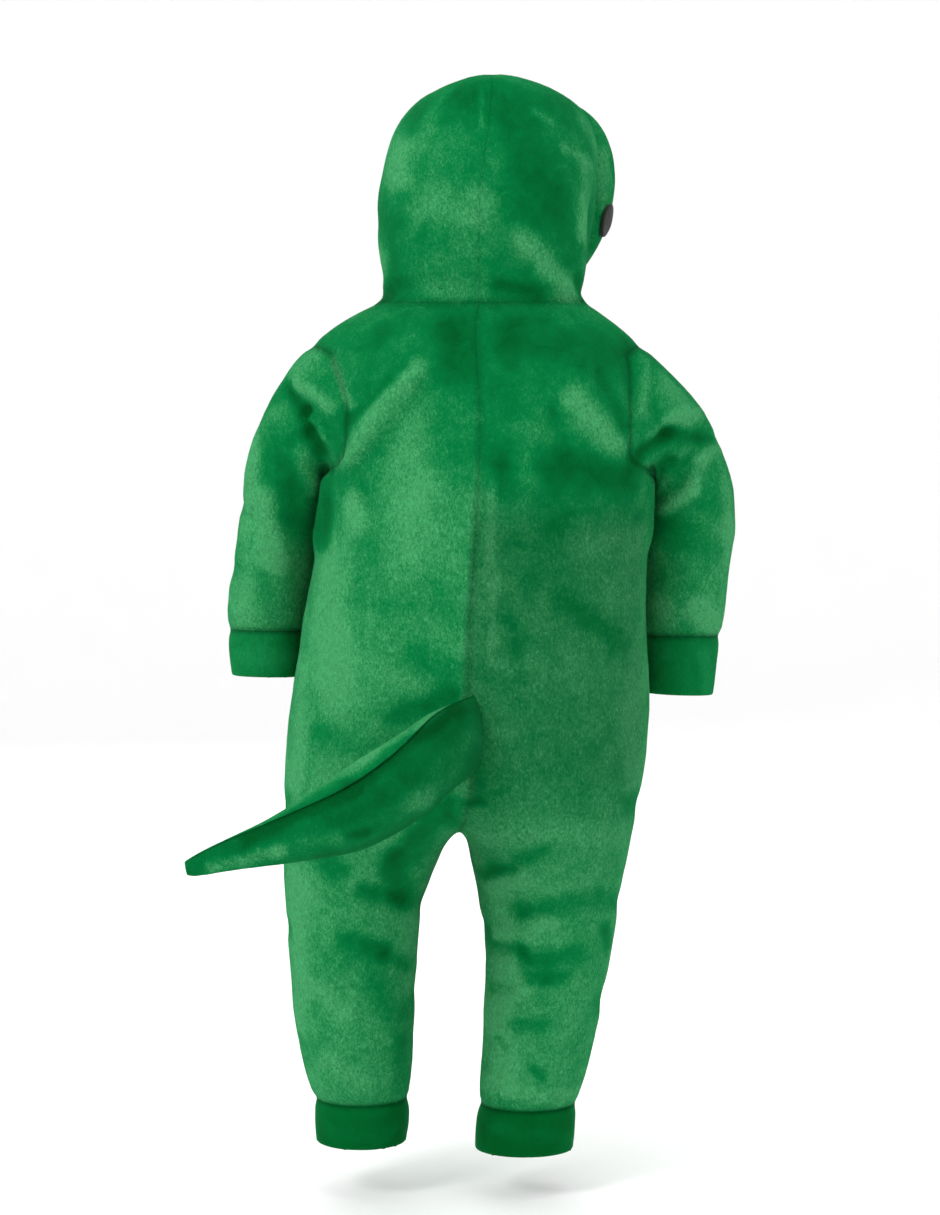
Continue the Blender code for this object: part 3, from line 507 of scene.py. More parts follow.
def new_object(name, mesh, *materials):
    """A finished bmesh as an object at the origin, shaded smooth."""
    data = bpy.data.meshes.new(name)
    mesh.to_mesh(data)
    mesh.free()
    data.shade_smooth()
    for material in materials:
        data.materials.append(material)
    obj = bpy.data.objects.new(name, data)
    bpy.context.scene.collection.objects.link(obj)
    return obj


def apply_modifiers(obj):
    """Puts what the modifiers make into the mesh, and takes them off."""
    bpy.context.view_layer.update()
    graph = bpy.context.evaluated_depsgraph_get()
    made = bpy.data.meshes.new_from_object(obj.evaluated_get(graph))
    obj.modifiers.clear()
    old, obj.data = obj.data, made
    bpy.data.meshes.remove(old)


def add_rounding(obj, levels):
    rounding = obj.modifiers.new("Rounding", "SUBSURF")
    rounding.levels = rounding.render_levels = levels
    rounding.use_limit_surface = False


def place_piece(obj, node):
    """Ties the piece to the frame in place of its node."""
    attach(obj, "root")
    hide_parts(node)


def seams_of(mesh):
    """The vertices where two groups of pieces are sewn to each other, for each two groups."""
    skin = bmesh.new()
    skin.from_mesh(mesh)
    found = {}
    for edge in skin.edges:
        pieces = {face.material_index for face in edge.link_faces}
        if len(pieces) == 2:
            groups = tuple(sorted(GROUPS[PIECES[index]] for index in pieces))
            found.setdefault(groups, set()).update(vertex.index for vertex in edge.verts)
    skin.free()
    return found


def closeness(points, near, reach):
    """1 at the nearest of the other points, falling off over the reach."""
    tree = KDTree(len(near))
    for i, place in enumerate(near):
        tree.insert(place, i)
    tree.balance()
    away = np.array([tree.find(point)[2] for point in points])
    return np.exp(-((away / reach) ** 2))


def members(mesh, pieces):
    """True for each vertex on one of these pieces."""
    member = np.zeros(len(mesh.vertices), bool)
    for face in mesh.polygons:
        if PIECES[face.material_index] in pieces:
            member[list(face.vertices)] = True
    return member


def make_skin():
    """All the outer sides sewn into one rounded skin, with its seams and its creases."""
    skin = bmesh.new()
    for index, piece in enumerate(PIECES):
        side = outer_side(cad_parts[piece], cloth().wall)
        for face in side.faces:
            face.material_index = index
        data = bpy.data.meshes.new(piece)
        side.to_mesh(data)
        side.free()
        skin.from_mesh(data)
        bpy.data.meshes.remove(data)
    edges = [vertex for vertex in skin.verts if vertex.is_boundary]
    bmesh.ops.remove_doubles(skin, verts=edges, dist=WELD_SEAMS)
    quads(skin, SKIN_JOIN_ANGLE)
    obj = new_object(SKIN, skin)
    obj.hide_render = True
    for _ in PIECES:
        obj.data.materials.append(None)
    add_rounding(obj, cloth().rounding)
    apply_modifiers(obj)
    mesh = obj.data
    points, normals = mesh_arrays(mesh)
    dip, shade, joined = np.zeros(len(points)), np.zeros(len(points)), np.zeros(len(points))
    # Painted shade along each seam, darkest on the seam itself.
    for groups, indices in seams_of(mesh).items():
        seam = SEAMS[groups]
        near = closeness(points, points[sorted(indices)], seam.reach)
        dip = np.maximum(dip, seam.dip * near)
        shade = np.maximum(shade, seam.shade * near ** 4)
        if groups[0] != groups[1]:
            joined = np.maximum(joined, near)
    # Painted shade on the back right panel, where the light falls off.
    backward = np.clip(FACING_SHARPNESS * normals[:, 1], 0.0, 1.0)
    for piece, rows in PAINTED_PANEL_SHADE.items():
        lost = np.interp(points[:, 2], *zip(*rows)) * backward
        shade = np.where(members(mesh, [piece]), 1 - (1 - shade) * (1 - lost), shade)
    depth = np.zeros(len(points))
    tone = HEIGHT_TONE * np.interp(points[:, 2], (LIGHT_BELOW, DARK_ABOVE), (1.0, 0.0))
    for group in dict.fromkeys(GROUPS.values()):
        member = members(mesh, [piece for piece in PIECES if GROUPS[piece] == group])
        group_depth, group_tone = stroke_sums(points[member], normals[member], STROKES[group])
        depth[member] += group_depth
        tone[member] += group_tone
    depth = cloth().crease_share * depth + cloth().ripple_height * ripples(points)
    depth = depth * (1 - joined ** 2) - dip
    creased = points + normals * depth[:, None]
    for pull in PULLS:
        away = np.linalg.norm(points - np.array((pull.x, pull.y, pull.z)), axis=1) / pull.reach
        creased[:, 2] += pull.rise * smooth_edge(away)
    set_points(mesh, creased)
    # nap is the pile's tone with the strokes' painted highlight and shade; seam is painted shade.
    set_attribute(mesh, "nap", tone)
    set_attribute(mesh, "seam", shade)
    out = mesh.attributes.new(OUT, "FLOAT_VECTOR", "POINT")
    out.data.foreach_set("vector", normals.astype(np.float32).ravel())
    return obj


def pull_back_edges(edges, distance):
    """Moves the edges of a piece into it, which leaves half of the seam gap."""
    moves = {}
    for edge in edges:
        a, b = edge.verts
        along = (b.co - a.co).normalized()
        inward = edge.link_faces[0].calc_center_median() - a.co
        inward = (inward - along * inward.dot(along)).normalized()
        for vertex in edge.verts:
            moves[vertex] = moves.get(vertex, Vector()) + inward
    for vertex, move in moves.items():
        vertex.co += move.normalized() * distance


def roll_edges(mesh, edges, width):
    bmesh.ops.bevel(
        mesh, geom=edges, offset=width, offset_type="OFFSET", segments=2, profile=0.5,
        affect="EDGES", clamp_overlap=True, material=-1)


def make_cloth_piece(name, outside):
    """Cuts one piece out of the skin and gives it its wall, with rolled edges."""
    mesh = bmesh.new()
    mesh.from_mesh(bpy.data.objects[SKIN].data)
    index = PIECES.index(name)
    hems = {edge for edge in mesh.edges if edge.is_boundary}
    others = [face for face in mesh.faces if face.material_index != index]
    bmesh.ops.delete(mesh, geom=others, context="FACES")
    for vertex in mesh.verts[:]:
        ends = [edge for edge in vertex.link_edges if edge.is_boundary]
        if len(ends) > 2:
            bmesh.utils.vert_separate(vertex, ends)
    out = mesh.verts.layers.float_vector[OUT]
    for face in mesh.faces:
        face.material_index = 0
    rim = [edge for edge in mesh.edges if edge.is_boundary]
    hem = [edge for edge in rim if edge in hems]
    seam = [edge for edge in rim if edge not in hems]
    pull_back_edges(seam, cloth().seam_gap / 2)
    made = bmesh.ops.duplicate(mesh, geom=mesh.verts[:] + mesh.edges[:] + mesh.faces[:])
    inner = made["vert_map"]
    for vertex in made["geom"]:
        if isinstance(vertex, bmesh.types.BMVert):
            vertex.co -= vertex[out] * cloth().wall
    inner_faces = [face for face in made["geom"] if isinstance(face, bmesh.types.BMFace)]
    for face in inner_faces:
        face.material_index = 1
    bmesh.ops.reverse_faces(mesh, faces=inner_faces)
    inner_hem = []
    for edge in rim:
        loop = edge.link_loops[0]
        start, end = loop.vert, loop.link_loop_next.vert
        face = mesh.faces.new((end, start, inner[start], inner[end]))
        face.smooth = True
        if edge in hems:
            inner_hem.append(mesh.edges.get((inner[start], inner[end])))
    roll_edges(mesh, hem + inner_hem, cloth().hem_round)
    roll_edges(mesh, [edge for edge in seam if edge.is_valid], cloth().seam_round)
    obj = new_object(f"{name}_cloth", mesh, outside, backing_material())
    obj.data.attributes.remove(obj.data.attributes[OUT])
    place_piece(obj, name)
    return obj


def rounded_copy(name, node, levels, edge_crease, middle=()):
    """A closed node rounded, with hard edges kept. Faces in middle stay apart from the rest."""
    mesh = merged_copy(node)
    mesh.faces.ensure_lookup_table()
    for index in middle:
        mesh.faces[index].material_index = 1
    quads(mesh, PIECE_JOIN_ANGLE)
    crease = mesh.edges.layers.float.new("crease_edge")
    for edge in mesh.edges:
        turned = edge.calc_face_angle(0.0) > math.radians(HARD_ANGLE)
        parts = {face.material_index for face in edge.link_faces}
        if turned or len(parts) > 1:
            edge[crease] = edge_crease
    obj = new_object(name, mesh)
    obj.data.materials.append(None)
    obj.data.materials.append(None)
    add_rounding(obj, levels)
    apply_modifiers(obj)
    return obj


def facing_faces(node, other, gap):
    """The indices of the node's faces that look straight at another node this near."""
    mesh, target = merged_copy(node), merged_copy(other)
    tree = BVHTree.FromBMesh(target)
    found = []
    for face in mesh.faces:
        away = tree.ray_cast(face.calc_center_median(), face.normal)[3]
        if away is not None and away < gap:
            found.append(face.index)
    mesh.free()
    target.free()
    return found


# The tail's two halves: the widest gap between them, how far their middle is drawn back from it,
# their filling, their seam with its painted shade, and the painted light on their pile: painted
# shade round the root, and one half painted lighter than the other.
TAIL_GAP = 0.0010
TAIL_CLEARANCE = 0.0006
TAIL_ROUNDING = 3
TAIL_RIPPLE = 0.6
TAIL_SEAM_DIP = 0.0005
TAIL_SEAM_REACH = 0.0034
TAIL_SEAM_SHADE = 0.08
TAIL_ROOT = (0.010, 0.095, -0.290)
TAIL_ROOT_REACH = 0.090
TAIL_ROOT_SHADE = {"left": 0.05, "right": 0.32}
TAIL_PAINTED_LIGHT = {"left": 0.45, "right": -0.35}
TINY = 1e-12

# A piece that is sewn or snapped on rests this far from the finished cloth under it.
SEAT_GAP = 0.00025
# The end of the tail that is drawn onto the back: how near to the back and to the root it lies, how
# straight it looks at the back, and how far up the tail the change reaches.
ROOT_AWAY = 0.004
ROOT_HALF = 0.045
ROOT_FACING = -0.8
SEAT_REACH = 0.016


def finished_tree(name):
    """A finished object's faces, to measure from."""
    mesh = bmesh.new()
    mesh.from_mesh(bpy.data.objects[name].data)
    tree = BVHTree.FromBMesh(mesh)
    mesh.free()
    return tree


def seated_root(points, normals):
    """The tail's points with the end at its root pulled onto the finished back."""
    tree = finished_tree(SKIN)
    found = [tree.find_nearest(Vector(point))[:2] for point in points]
    below, out = (np.array([place[i] for place in found], float) for i in (0, 1))
    away = np.einsum("ij,ij->i", points - below, out)
    root = (away < ROOT_AWAY) & (np.einsum("ij,ij->i", normals, out) < ROOT_FACING)
    root &= np.linalg.norm(points - np.array(TAIL_ROOT), axis=1) < ROOT_HALF
    ends = KDTree(int(root.sum()))
    for i, index in enumerate(np.flatnonzero(root)):
        ends.insert(points[index], i)
    ends.balance()
    end_away = away[root]
    gap = np.array([end_away[ends.find(point)[1]] for point in points])
    share = np.clip((SEAT_REACH - away) / (SEAT_REACH - gap), 0.0, 1.0)
    seated = np.maximum(away - (gap - SEAT_GAP) * share, SEAT_GAP)
    return points + out * (seated - away)[:, None]


def make_tail_half(side, other):
    """One stuffed half of the tail, with its long seams pulled in."""
    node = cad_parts[f"tail_{side}"]
    middle = facing_faces(node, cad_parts[f"tail_{other}"], TAIL_GAP)
    obj = rounded_copy(f"tail_{side}_stuffed", node, TAIL_ROUNDING, 1.0, middle=middle)
    mesh = obj.data
    points, normals = mesh_arrays(mesh)
    arc, flat = np.zeros(len(points), bool), np.zeros(len(points), bool)
    arc_normal, flat_normal = np.zeros_like(points), np.zeros_like(points)
    for face in mesh.polygons:
        which, normal = (flat, flat_normal) if face.material_index else (arc, arc_normal)
        which[list(face.vertices)] = True
        normal[list(face.vertices)] += np.array(face.normal) * face.area
    arc_normal /= np.maximum(np.linalg.norm(arc_normal, axis=1), TINY)[:, None]
    seam = closeness(points, points[arc & flat], TAIL_SEAM_REACH)
    ripple = TAIL_RIPPLE * cloth().ripple_height * ripples(points)
    depth = ripple * (1 - seam) - TAIL_SEAM_DIP * seam
    group_depth, tone = stroke_sums(points, normals, STROKES["tail"])
    depth = np.where(arc, depth + group_depth, 0.0)
    sunk = np.where(arc & ~flat, 0.0, TAIL_CLEARANCE)
    flat_normal /= np.maximum(np.linalg.norm(flat_normal, axis=1), TINY)[:, None]
    shaped = points + arc_normal * depth[:, None] - flat_normal * sunk[:, None]
    set_points(mesh, seated_root(shaped, normals))
    # One half is painted lighter and the other darker, with painted shade round the root.
    set_attribute(mesh, "nap", TAIL_PAINTED_LIGHT[side] + tone)
    root = closeness(points, [TAIL_ROOT], TAIL_ROOT_REACH)
    set_attribute(mesh, "seam", np.maximum(TAIL_SEAM_SHADE * seam, TAIL_ROOT_SHADE[side] * root))
    for face in mesh.polygons:
        face.material_index = 0
    mesh.materials.clear()
    mesh.materials.append(plush_material())
    place_piece(obj, f"tail_{side}")


# The placket's thickness, how hard its edges are, its unevenness and the change of its nap.
PLACKET_WALL = 0.002
PLACKET_CREASE = 0.75
PLACKET_RIPPLE = 0.0003
PLACKET_MOTTLE = 0.3


def make_placket():
    """The strip over the centre front that carries the snaps."""
    obj = rounded_copy("placket_cloth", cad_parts["placket"], SMALL_ROUNDING, PLACKET_CREASE)
    mesh = obj.data
    points, normals = mesh_arrays(mesh)
    wave = ripples(points)
    set_points(mesh, points + normals * (PLACKET_RIPPLE * wave)[:, None])
    set_attribute(mesh, "nap", PLACKET_MOTTLE * wave)
    set_attribute(mesh, "seam", np.zeros(len(points)))
    mesh.materials.clear()
    mesh.materials.append(plush_material())
    place_piece(obj, "placket")
    return obj


STITCH_LENGTH = 0.0024
STITCH_PITCH = 0.0032
STITCH_RADIUS = 0.00035
STITCH_INSET = 0.0028
# An edge point is further than this from the placket's middle; a stitch is laid from this far off.
EDGE_AWAY = 0.005
STITCH_FROM = 0.1


def placket_edges():
    """The placket's two long edges, by the side that they lie on, as rows of (z, x) upwards."""
    side = outer_side(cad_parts["placket"], PLACKET_WALL)
    inner = [v.co.copy() for v in side.verts if not v.is_boundary]
    rim = [v.co.copy() for v in side.verts if v.is_boundary]
    side.free()
    middle = sorted((v.z, v.x) for v in inner)
    heights, across = zip(*middle)
    edges = {1: [], -1: []}
    for v in rim:
        offset = v.x - np.interp(v.z, heights, across)
        if abs(offset) > EDGE_AWAY:
            edges[1 if offset > 0 else -1].append((v.z, v.x))
    return {way: sorted(rows) for way, rows in edges.items()}


def make_stitches(placket):
    """Two rows of stitches along the placket's long edges, joined in one mesh."""
    mesh = bmesh.new()
    tree = finished_tree(placket.name)
    ahead = Vector((0, -1, 0))
    for way, rows in placket_edges().items():
        heights, across = zip(*rows)
        count = int((heights[-1] - heights[0] - 2 * STITCH_INSET) / STITCH_PITCH)
        for i in range(count):
            z = heights[0] + STITCH_INSET + (i + 0.5) * STITCH_PITCH
            x = np.interp(z, heights, across) - way * STITCH_INSET
            below, above = (
                tree.ray_cast(Vector((x, CAD_LOW.y - STITCH_FROM, z + step)), -ahead)[0]
                for step in (-STITCH_LENGTH / 2, STITCH_LENGTH / 2)
            )
            if below is None or above is None:
                continue
            turn = (above - below).to_track_quat("Z", "Y").to_matrix().to_4x4()
            size = Matrix.Diagonal((STITCH_RADIUS, STITCH_RADIUS, STITCH_LENGTH / 2, 1))
            place = Matrix.Translation((above + below) / 2)
            bmesh.ops.create_icosphere(mesh, subdivisions=1, radius=1.0, matrix=place @ turn @ size)
    obj = new_object("placket_stitches", mesh, thread_material())
    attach(obj, "root")


def lathed(outline, steps):
    """A closed or open (radius, height) outline turned once round Z."""
    mesh = bmesh.new()
    profile = [mesh.verts.new((radius, 0.0, height)) for radius, height in outline]
    edges = [mesh.edges.new(pair) for pair in zip(profile, profile[1:])]
    bmesh.ops.spin(
        mesh, geom=profile + edges, axis=(0, 0, 1), cent=(0, 0, 0), steps=steps,
        angle=2 * math.pi, use_merge=True)
    bmesh.ops.remove_doubles(mesh, verts=mesh.verts, dist=MERGE)
    bmesh.ops.recalc_face_normals(mesh, faces=mesh.faces)
    return mesh


# The furthest that a snap cap may stand off the placket before it is moved onto it.
SNAP_FALL = 0.008


def make_snap(name):
    """A turned snap cap in its node's place, with a dished middle and a rounded rim."""
    points = np.array([v.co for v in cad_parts[name].data.vertices], float)
    middle = (points.max(0) + points.min(0)) / 2
    axes = np.linalg.svd(points - points.mean(0))[2]
    out = Vector(axes[2])
    if out.y > 0:
        out.negate()
    across = (points - middle) @ np.array(out)
    thickness = float(across.max() - across.min())
    beside = (points - middle) - across[:, None] * np.array(out)
    radius = float(np.linalg.norm(beside, axis=1).max())
    mesh = lathed([(radius * r, thickness * (h - 0.5)) for r, h in SNAP_PROFILE], SNAP_STEPS)
    turn = out.to_track_quat("Z", "Y").to_matrix().to_4x4()
    bmesh.ops.transform(mesh, matrix=Matrix.Translation(middle) @ turn, verts=mesh.verts)
    tree = finished_tree("placket_cloth")
    falls = [tree.ray_cast(v.co, -out, SNAP_FALL)[3] for v in mesh.verts]
    fall = min(away for away in falls if away is not None) - SEAT_GAP
    bmesh.ops.translate(mesh, vec=-out * fall, verts=mesh.verts)
    obj = new_object(f"{name}_cap", mesh, snap_material())
    place_piece(obj, name)


PATCH_CREASE = 0.6


def make_patch(side):
    """A dark oval patch on the hood's band."""
    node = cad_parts[f"eye_{side}"]
    obj = rounded_copy(f"eye_{side}_patch", node, SMALL_ROUNDING, PATCH_CREASE)
    obj.data.materials.clear()
    obj.data.materials.append(patch_material())
    place_piece(obj, f"eye_{side}")


def new_node(tree, kind, inputs=(), **settings):
    """A shader node with its settings, each input given as a value or as a socket to link."""
    made = tree.nodes.new(kind)
    for name, value in settings.items():
        setattr(made, name, value)
    for key, value in dict(inputs).items():
        if isinstance(value, bpy.types.NodeSocket):
            tree.links.new(value, made.inputs[key])
        else:
            made.inputs[key].default_value = value
    return made


def calculated(tree, operation, *values, clamp=False):
    inputs = dict(enumerate(values))
    return new_node(tree, "ShaderNodeMath", inputs, operation=operation, use_clamp=clamp).outputs[0]


def mixed(tree, share, first, second):
    """A colour between two, on the sockets of a colour Mix node."""
    made = new_node(tree, "ShaderNodeMix", {0: share, 6: first, 7: second}, data_type="RGBA")
    return made.outputs[2]


def eased(tree, value, low, high):
    """0 up to low, 1 from high on, and soft between."""
    made = new_node(
        tree, "ShaderNodeMapRange", {0: value, 1: low, 2: high}, interpolation_type="SMOOTHSTEP")
    return made.outputs[0]


def noise_value(tree, vector, scale, detail=2.0, roughness=0.5, distortion=0.0):
    inputs = {
        "Vector": vector, "Scale": scale, "Detail": detail, "Roughness": roughness,
        "Distortion": distortion,
    }
    return new_node(tree, "ShaderNodeTexNoise", inputs).outputs[0]


def object_place(tree):
    """The object's own coordinates, which the noises are read at."""
    return new_node(tree, "ShaderNodeTexCoord").outputs["Object"]


def drawn_upright(tree, vector, share):
    """The coordinates with their height shortened, which draws a noise out upright."""
    inputs = {"Vector": vector, "Scale": (1.0, 1.0, share)}
    return new_node(tree, "ShaderNodeMapping", inputs).outputs[0]


def add_relief(tree, shader, strength, distance, height):
    inputs = {"Strength": strength, "Distance": distance, "Height": height}
    relief = new_node(tree, "ShaderNodeBump", inputs)
    tree.links.new(relief.outputs[0], shader.inputs["Normal"])


def set_inputs(node, values):
    for key, value in values.items():
        node.inputs[key].default_value = value


def scaled(colour, share):
    """The colour made darker or lighter, up to white."""
    return [min(1.0, share * part) for part in colour[:3]] + [1.0]


def new_group(name, inputs, outputs):
    """An empty shader node group with these sockets, and its input and output nodes."""
    group = bpy.data.node_groups.new(name, "ShaderNodeTree")
    for way, sockets in (("INPUT", inputs), ("OUTPUT", outputs)):
        for socket, kind in sockets:
            group.interface.new_socket(socket, in_out=way, socket_type=f"NodeSocket{kind}")
    given = group.nodes.new("NodeGroupInput").outputs
    made = group.nodes.new("NodeGroupOutput").inputs
    return group, given, made


def centred(tree, value, gain):
    """A noise value's distance from its middle, times the gain."""
    return calculated(tree, "MULTIPLY", calculated(tree, "SUBTRACT", value, 0.5), gain)


# The pile's noises from the coarsest to the finest, and how strongly each one tells.
Grain = namedtuple("Grain", "scale detail roughness distortion")
PATCH_GRAIN = Grain(17.0, 2.0, 0.55, 0.5)
MOTTLE_GRAIN = Grain(70.0, 3.0, 0.62, 0.6)
TUFT_GRAIN = Grain(640.0, 2.0, 0.65, 0.8)
FIBRE_GRAIN = Grain(1500.0, 1.0, 0.70, 0.5)
PATCH_GAIN = 2.4
MOTTLE_GAIN = 2.0
TUFT_GAIN = 2.6
FIBRE_GAIN = 1.4
TUFT_LENGTH = 0.6
# The leans between which the pile goes from its dark tone to its middle one, and on to the light.
DARK_TO_MIDDLE = (-1.1, 0.30)
MIDDLE_TO_LIGHT = (-0.10, 1.15)
# How far the grain leans the pile, how deep it shades it by its lightness, and the mottle's height.
GRAIN_LEAN = 0.45
GRAIN_SHADE = (0.40, 0.08)
MOTTLE_HEIGHT = 0.6


def pile_group():
    """Plush pile: three tones of brushed nap and painted light, speckled where it stands, darkened
    by the painted shade in Seam, and its tufts' height.
    """
    name = "Plush pile"
    if name in bpy.data.node_groups:
        return bpy.data.node_groups[name]
    group, given, made = new_group(
        name,
        (("Vector", "Vector"), ("Nap", "Float"), ("Seam", "Float"), ("Mottle", "Float"),
         ("Speckle", "Float"), ("Dark", "Color"), ("Middle", "Color"), ("Light", "Color")),
        (("Color", "Color"), ("Height", "Float")))
    vector = given["Vector"]
    brushed = drawn_upright(group, vector, TUFT_LENGTH)
    patch = noise_value(group, vector, *PATCH_GRAIN)
    mottle = noise_value(group, vector, *MOTTLE_GRAIN)
    tuft = centred(group, noise_value(group, brushed, *TUFT_GRAIN), TUFT_GAIN)
    fibre = centred(group, noise_value(group, brushed, *FIBRE_GRAIN), FIBRE_GAIN)
    drift = calculated(
        group, "ADD", centred(group, patch, PATCH_GAIN), centred(group, mottle, MOTTLE_GAIN))
    lean = calculated(group, "MULTIPLY_ADD", given["Mottle"], drift, given["Nap"])
    grain = calculated(group, "MULTIPLY", calculated(group, "ADD", tuft, fibre), given["Speckle"])
    low = eased(group, lean, *DARK_TO_MIDDLE)
    leaning = calculated(group, "MULTIPLY_ADD", grain, GRAIN_LEAN, lean)
    high = eased(group, leaning, *MIDDLE_TO_LIGHT)
    colour = mixed(group, low, given["Dark"], given["Middle"])
    colour = mixed(group, high, colour, given["Light"])
    depth = calculated(group, "MULTIPLY_ADD", high, *GRAIN_SHADE)
    bright = calculated(group, "MULTIPLY_ADD", grain, depth, 1.0)
    # Seam holds painted shade: along the seams, on the back right panel and round the tail's root.
    shade = calculated(group, "MULTIPLY", bright, calculated(group, "SUBTRACT", 1.0, given["Seam"]))
    shaded = new_node(
        group, "ShaderNodeVectorMath", {0: colour, "Scale": shade}, operation="SCALE")
    group.links.new(shaded.outputs[0], made["Color"])
    height = calculated(group, "MULTIPLY_ADD", mottle, MOTTLE_HEIGHT, grain)
    group.links.new(height, made["Height"])
    return group


def new_material(name):
    """A named material with its Principled shader, or None for the shader if it was made before."""
    material = bpy.data.materials.get(name)
    if material:
        return material, None
    material = bpy.data.materials.new(name)
    material.use_nodes = True
    return material, material.node_tree.nodes["Principled BSDF"]


def attribute_value(tree, name):
    return new_node(tree, "ShaderNodeAttribute", attribute_name=name).outputs["Fac"]


def pile_material(name, tones, mottle, speckle, bump):
    material, shader = new_material(name)
    if shader is None:
        return material
    tree = material.node_tree
    pile = new_node(tree, "ShaderNodeGroup", node_tree=pile_group())
    set_inputs(pile, dict(zip(("Dark", "Middle", "Light"), tones)))
    set_inputs(pile, {"Mottle": mottle, "Speckle": speckle})
    tree.links.new(object_place(tree), pile.inputs["Vector"])
    tree.links.new(attribute_value(tree, "nap"), pile.inputs["Nap"])
    tree.links.new(attribute_value(tree, "seam"), pile.inputs["Seam"])
    tree.links.new(pile.outputs["Color"], shader.inputs["Base Color"])
    add_relief(tree, shader, bump, 0.0012, pile.outputs["Height"])
    set_inputs(shader, {
        "Roughness": 0.95, "Specular IOR Level": 0.02, "Sheen Weight": plush().sheen,
        "Sheen Roughness": 0.35, "Sheen Tint": (0.10, 0.90, 0.40, 1.0),
    })
    return material


def plush_material():
    tones = (plush().dark, plush().middle, plush().light)
    return pile_material("plush", tones, mottle=0.50, speckle=1.0, bump=0.5)


def cuff_material():
    tones = (plush().cuff_dark, plush().cuff_middle, plush().cuff_light)
    return pile_material("cuff_plush", tones, mottle=0.55, speckle=0.5, bump=0.3)


def backing_material():
    """The knitted inner side, in fine upright wales."""
    material, shader = new_material("backing")
    if shader is None:
        return material
    tree = material.node_tree
    place = object_place(tree)
    mottle = noise_value(tree, place, 60.0, 2.0)
    loops = noise_value(tree, drawn_upright(tree, place, 0.4), 900.0, 1.0)
    share = calculated(
        tree, "ADD", calculated(tree, "MULTIPLY", mottle, 0.6),
        calculated(tree, "MULTIPLY", loops, 0.5), clamp=True)
    tone = mixed(tree, share, scaled(plush().backing, 0.6), plush().backing)
    tree.links.new(tone, shader.inputs["Base Color"])
    add_relief(tree, shader, 0.4, 0.0006, loops)
    set_inputs(shader, {"Roughness": 0.9, "Sheen Weight": 0.2})
    return material


def speckled_material(name, colour, lighter, scale, detail, grain_roughness=0.5):
    """A material that a fine noise takes from its colour to a lighter one, and that noise."""
    material, shader = new_material(name)
    if shader is None:
        return material, None, None
    tree = material.node_tree
    fine = noise_value(tree, object_place(tree), scale, detail, grain_roughness)
    tone = mixed(tree, fine, colour, scaled(colour, lighter))
    tree.links.new(tone, shader.inputs["Base Color"])
    return material, shader, fine


def snap_material():
    """Moulded plastic with a faint haze of fine scratches."""
    material, shader, haze = speckled_material("snap_plastic", plush().snap, 1.25, 700.0, 3.0, 0.6)
    if shader:
        tree = material.node_tree
        roughness = new_node(tree, "ShaderNodeMapRange", {0: haze, 3: 0.28, 4: 0.50}).outputs[0]
        tree.links.new(roughness, shader.inputs["Roughness"])
    return material


def patch_material():
    """Short dark pile."""
    material, shader, fibre = speckled_material("patch_pile", plush().patch, 3.0, 1200.0, 2.0, 0.7)
    if shader:
        add_relief(material.node_tree, shader, 0.5, 0.0005, fibre)
        set_inputs(shader, {"Roughness": 0.8, "Sheen Weight": 0.2})
    return material


def thread_material():
    """Twisted sewing thread."""
    material, shader, _ = speckled_material("thread", plush().thread, 1.6, 2500.0, 1.0)
    if shader:
        set_inputs(shader, {"Roughness": 0.55})
    return material


class ONESIE_OT_skin(bpy.types.Operator):
    """Sew the outer sides into one rounded, creased skin"""

    bl_idname = "onesie.skin"
    bl_label = "Skin"

    def execute(self, context):
        make_skin()
        return {"FINISHED"}


class ClothStep:
    """What the operators that cut pieces out of the skin share."""

    def execute(self, context):
        for name in self.pieces:
            make_cloth_piece(name, cuff_material() if GROUPS[name] == "cuff" else plush_material())
        return {"FINISHED"}


class ONESIE_OT_panels(ClothStep, bpy.types.Operator):
    """Cut the front and back panels out of the skin"""

    bl_idname = "onesie.panels"
    bl_label = "Front and back panels"
    pieces = ("back_left", "back_right", "front_left", "front_right")


class ONESIE_OT_sleeves(ClothStep, bpy.types.Operator):
    """Cut the sleeves out of the skin"""

    bl_idname = "onesie.sleeves"
    bl_label = "Sleeves"
    pieces = ("sleeve_left", "sleeve_right")


class ONESIE_OT_cuffs(ClothStep, bpy.types.Operator):
    """Cut the four cuffs out of the skin"""

    bl_idname = "onesie.cuffs"
    bl_label = "Cuffs"
    pieces = ("cuff_sleeve_left", "cuff_sleeve_right", "cuff_leg_left", "cuff_leg_right")


class ONESIE_OT_hood(ClothStep, bpy.types.Operator):
    """Cut the hood's two sides and its band out of the skin"""

    bl_idname = "onesie.hood"
    bl_label = "Hood"
    pieces = ("hood_left", "hood_right", "hood_band")


class ONESIE_OT_tail(bpy.types.Operator):
    """Make the two stuffed halves of the tail"""

    bl_idname = "onesie.tail"
    bl_label = "Tail"

    def execute(self, context):
        make_tail_half("left", "right")
        make_tail_half("right", "left")
        return {"FINISHED"}


class ONESIE_OT_placket(bpy.types.Operator):
    """Make the placket and its two rows of stitches"""

    bl_idname = "onesie.placket"
    bl_label = "Placket"

    def execute(self, context):
        make_stitches(make_placket())
        return {"FINISHED"}


class ONESIE_OT_snaps(bpy.types.Operator):
    """Turn the snap caps"""

    bl_idname = "onesie.snaps"
    bl_label = "Snaps"

    def execute(self, context):
        for name in sorted(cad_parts):
            if name.startswith("snap_"):
                make_snap(name)
        return {"FINISHED"}


class ONESIE_OT_patches(bpy.types.Operator):
    """Make the two oval patches on the band"""

    bl_idname = "onesie.patches"
    bl_label = "Patches"

    def execute(self, context):
        make_patch("left")
        make_patch("right")
        return {"FINISHED"}


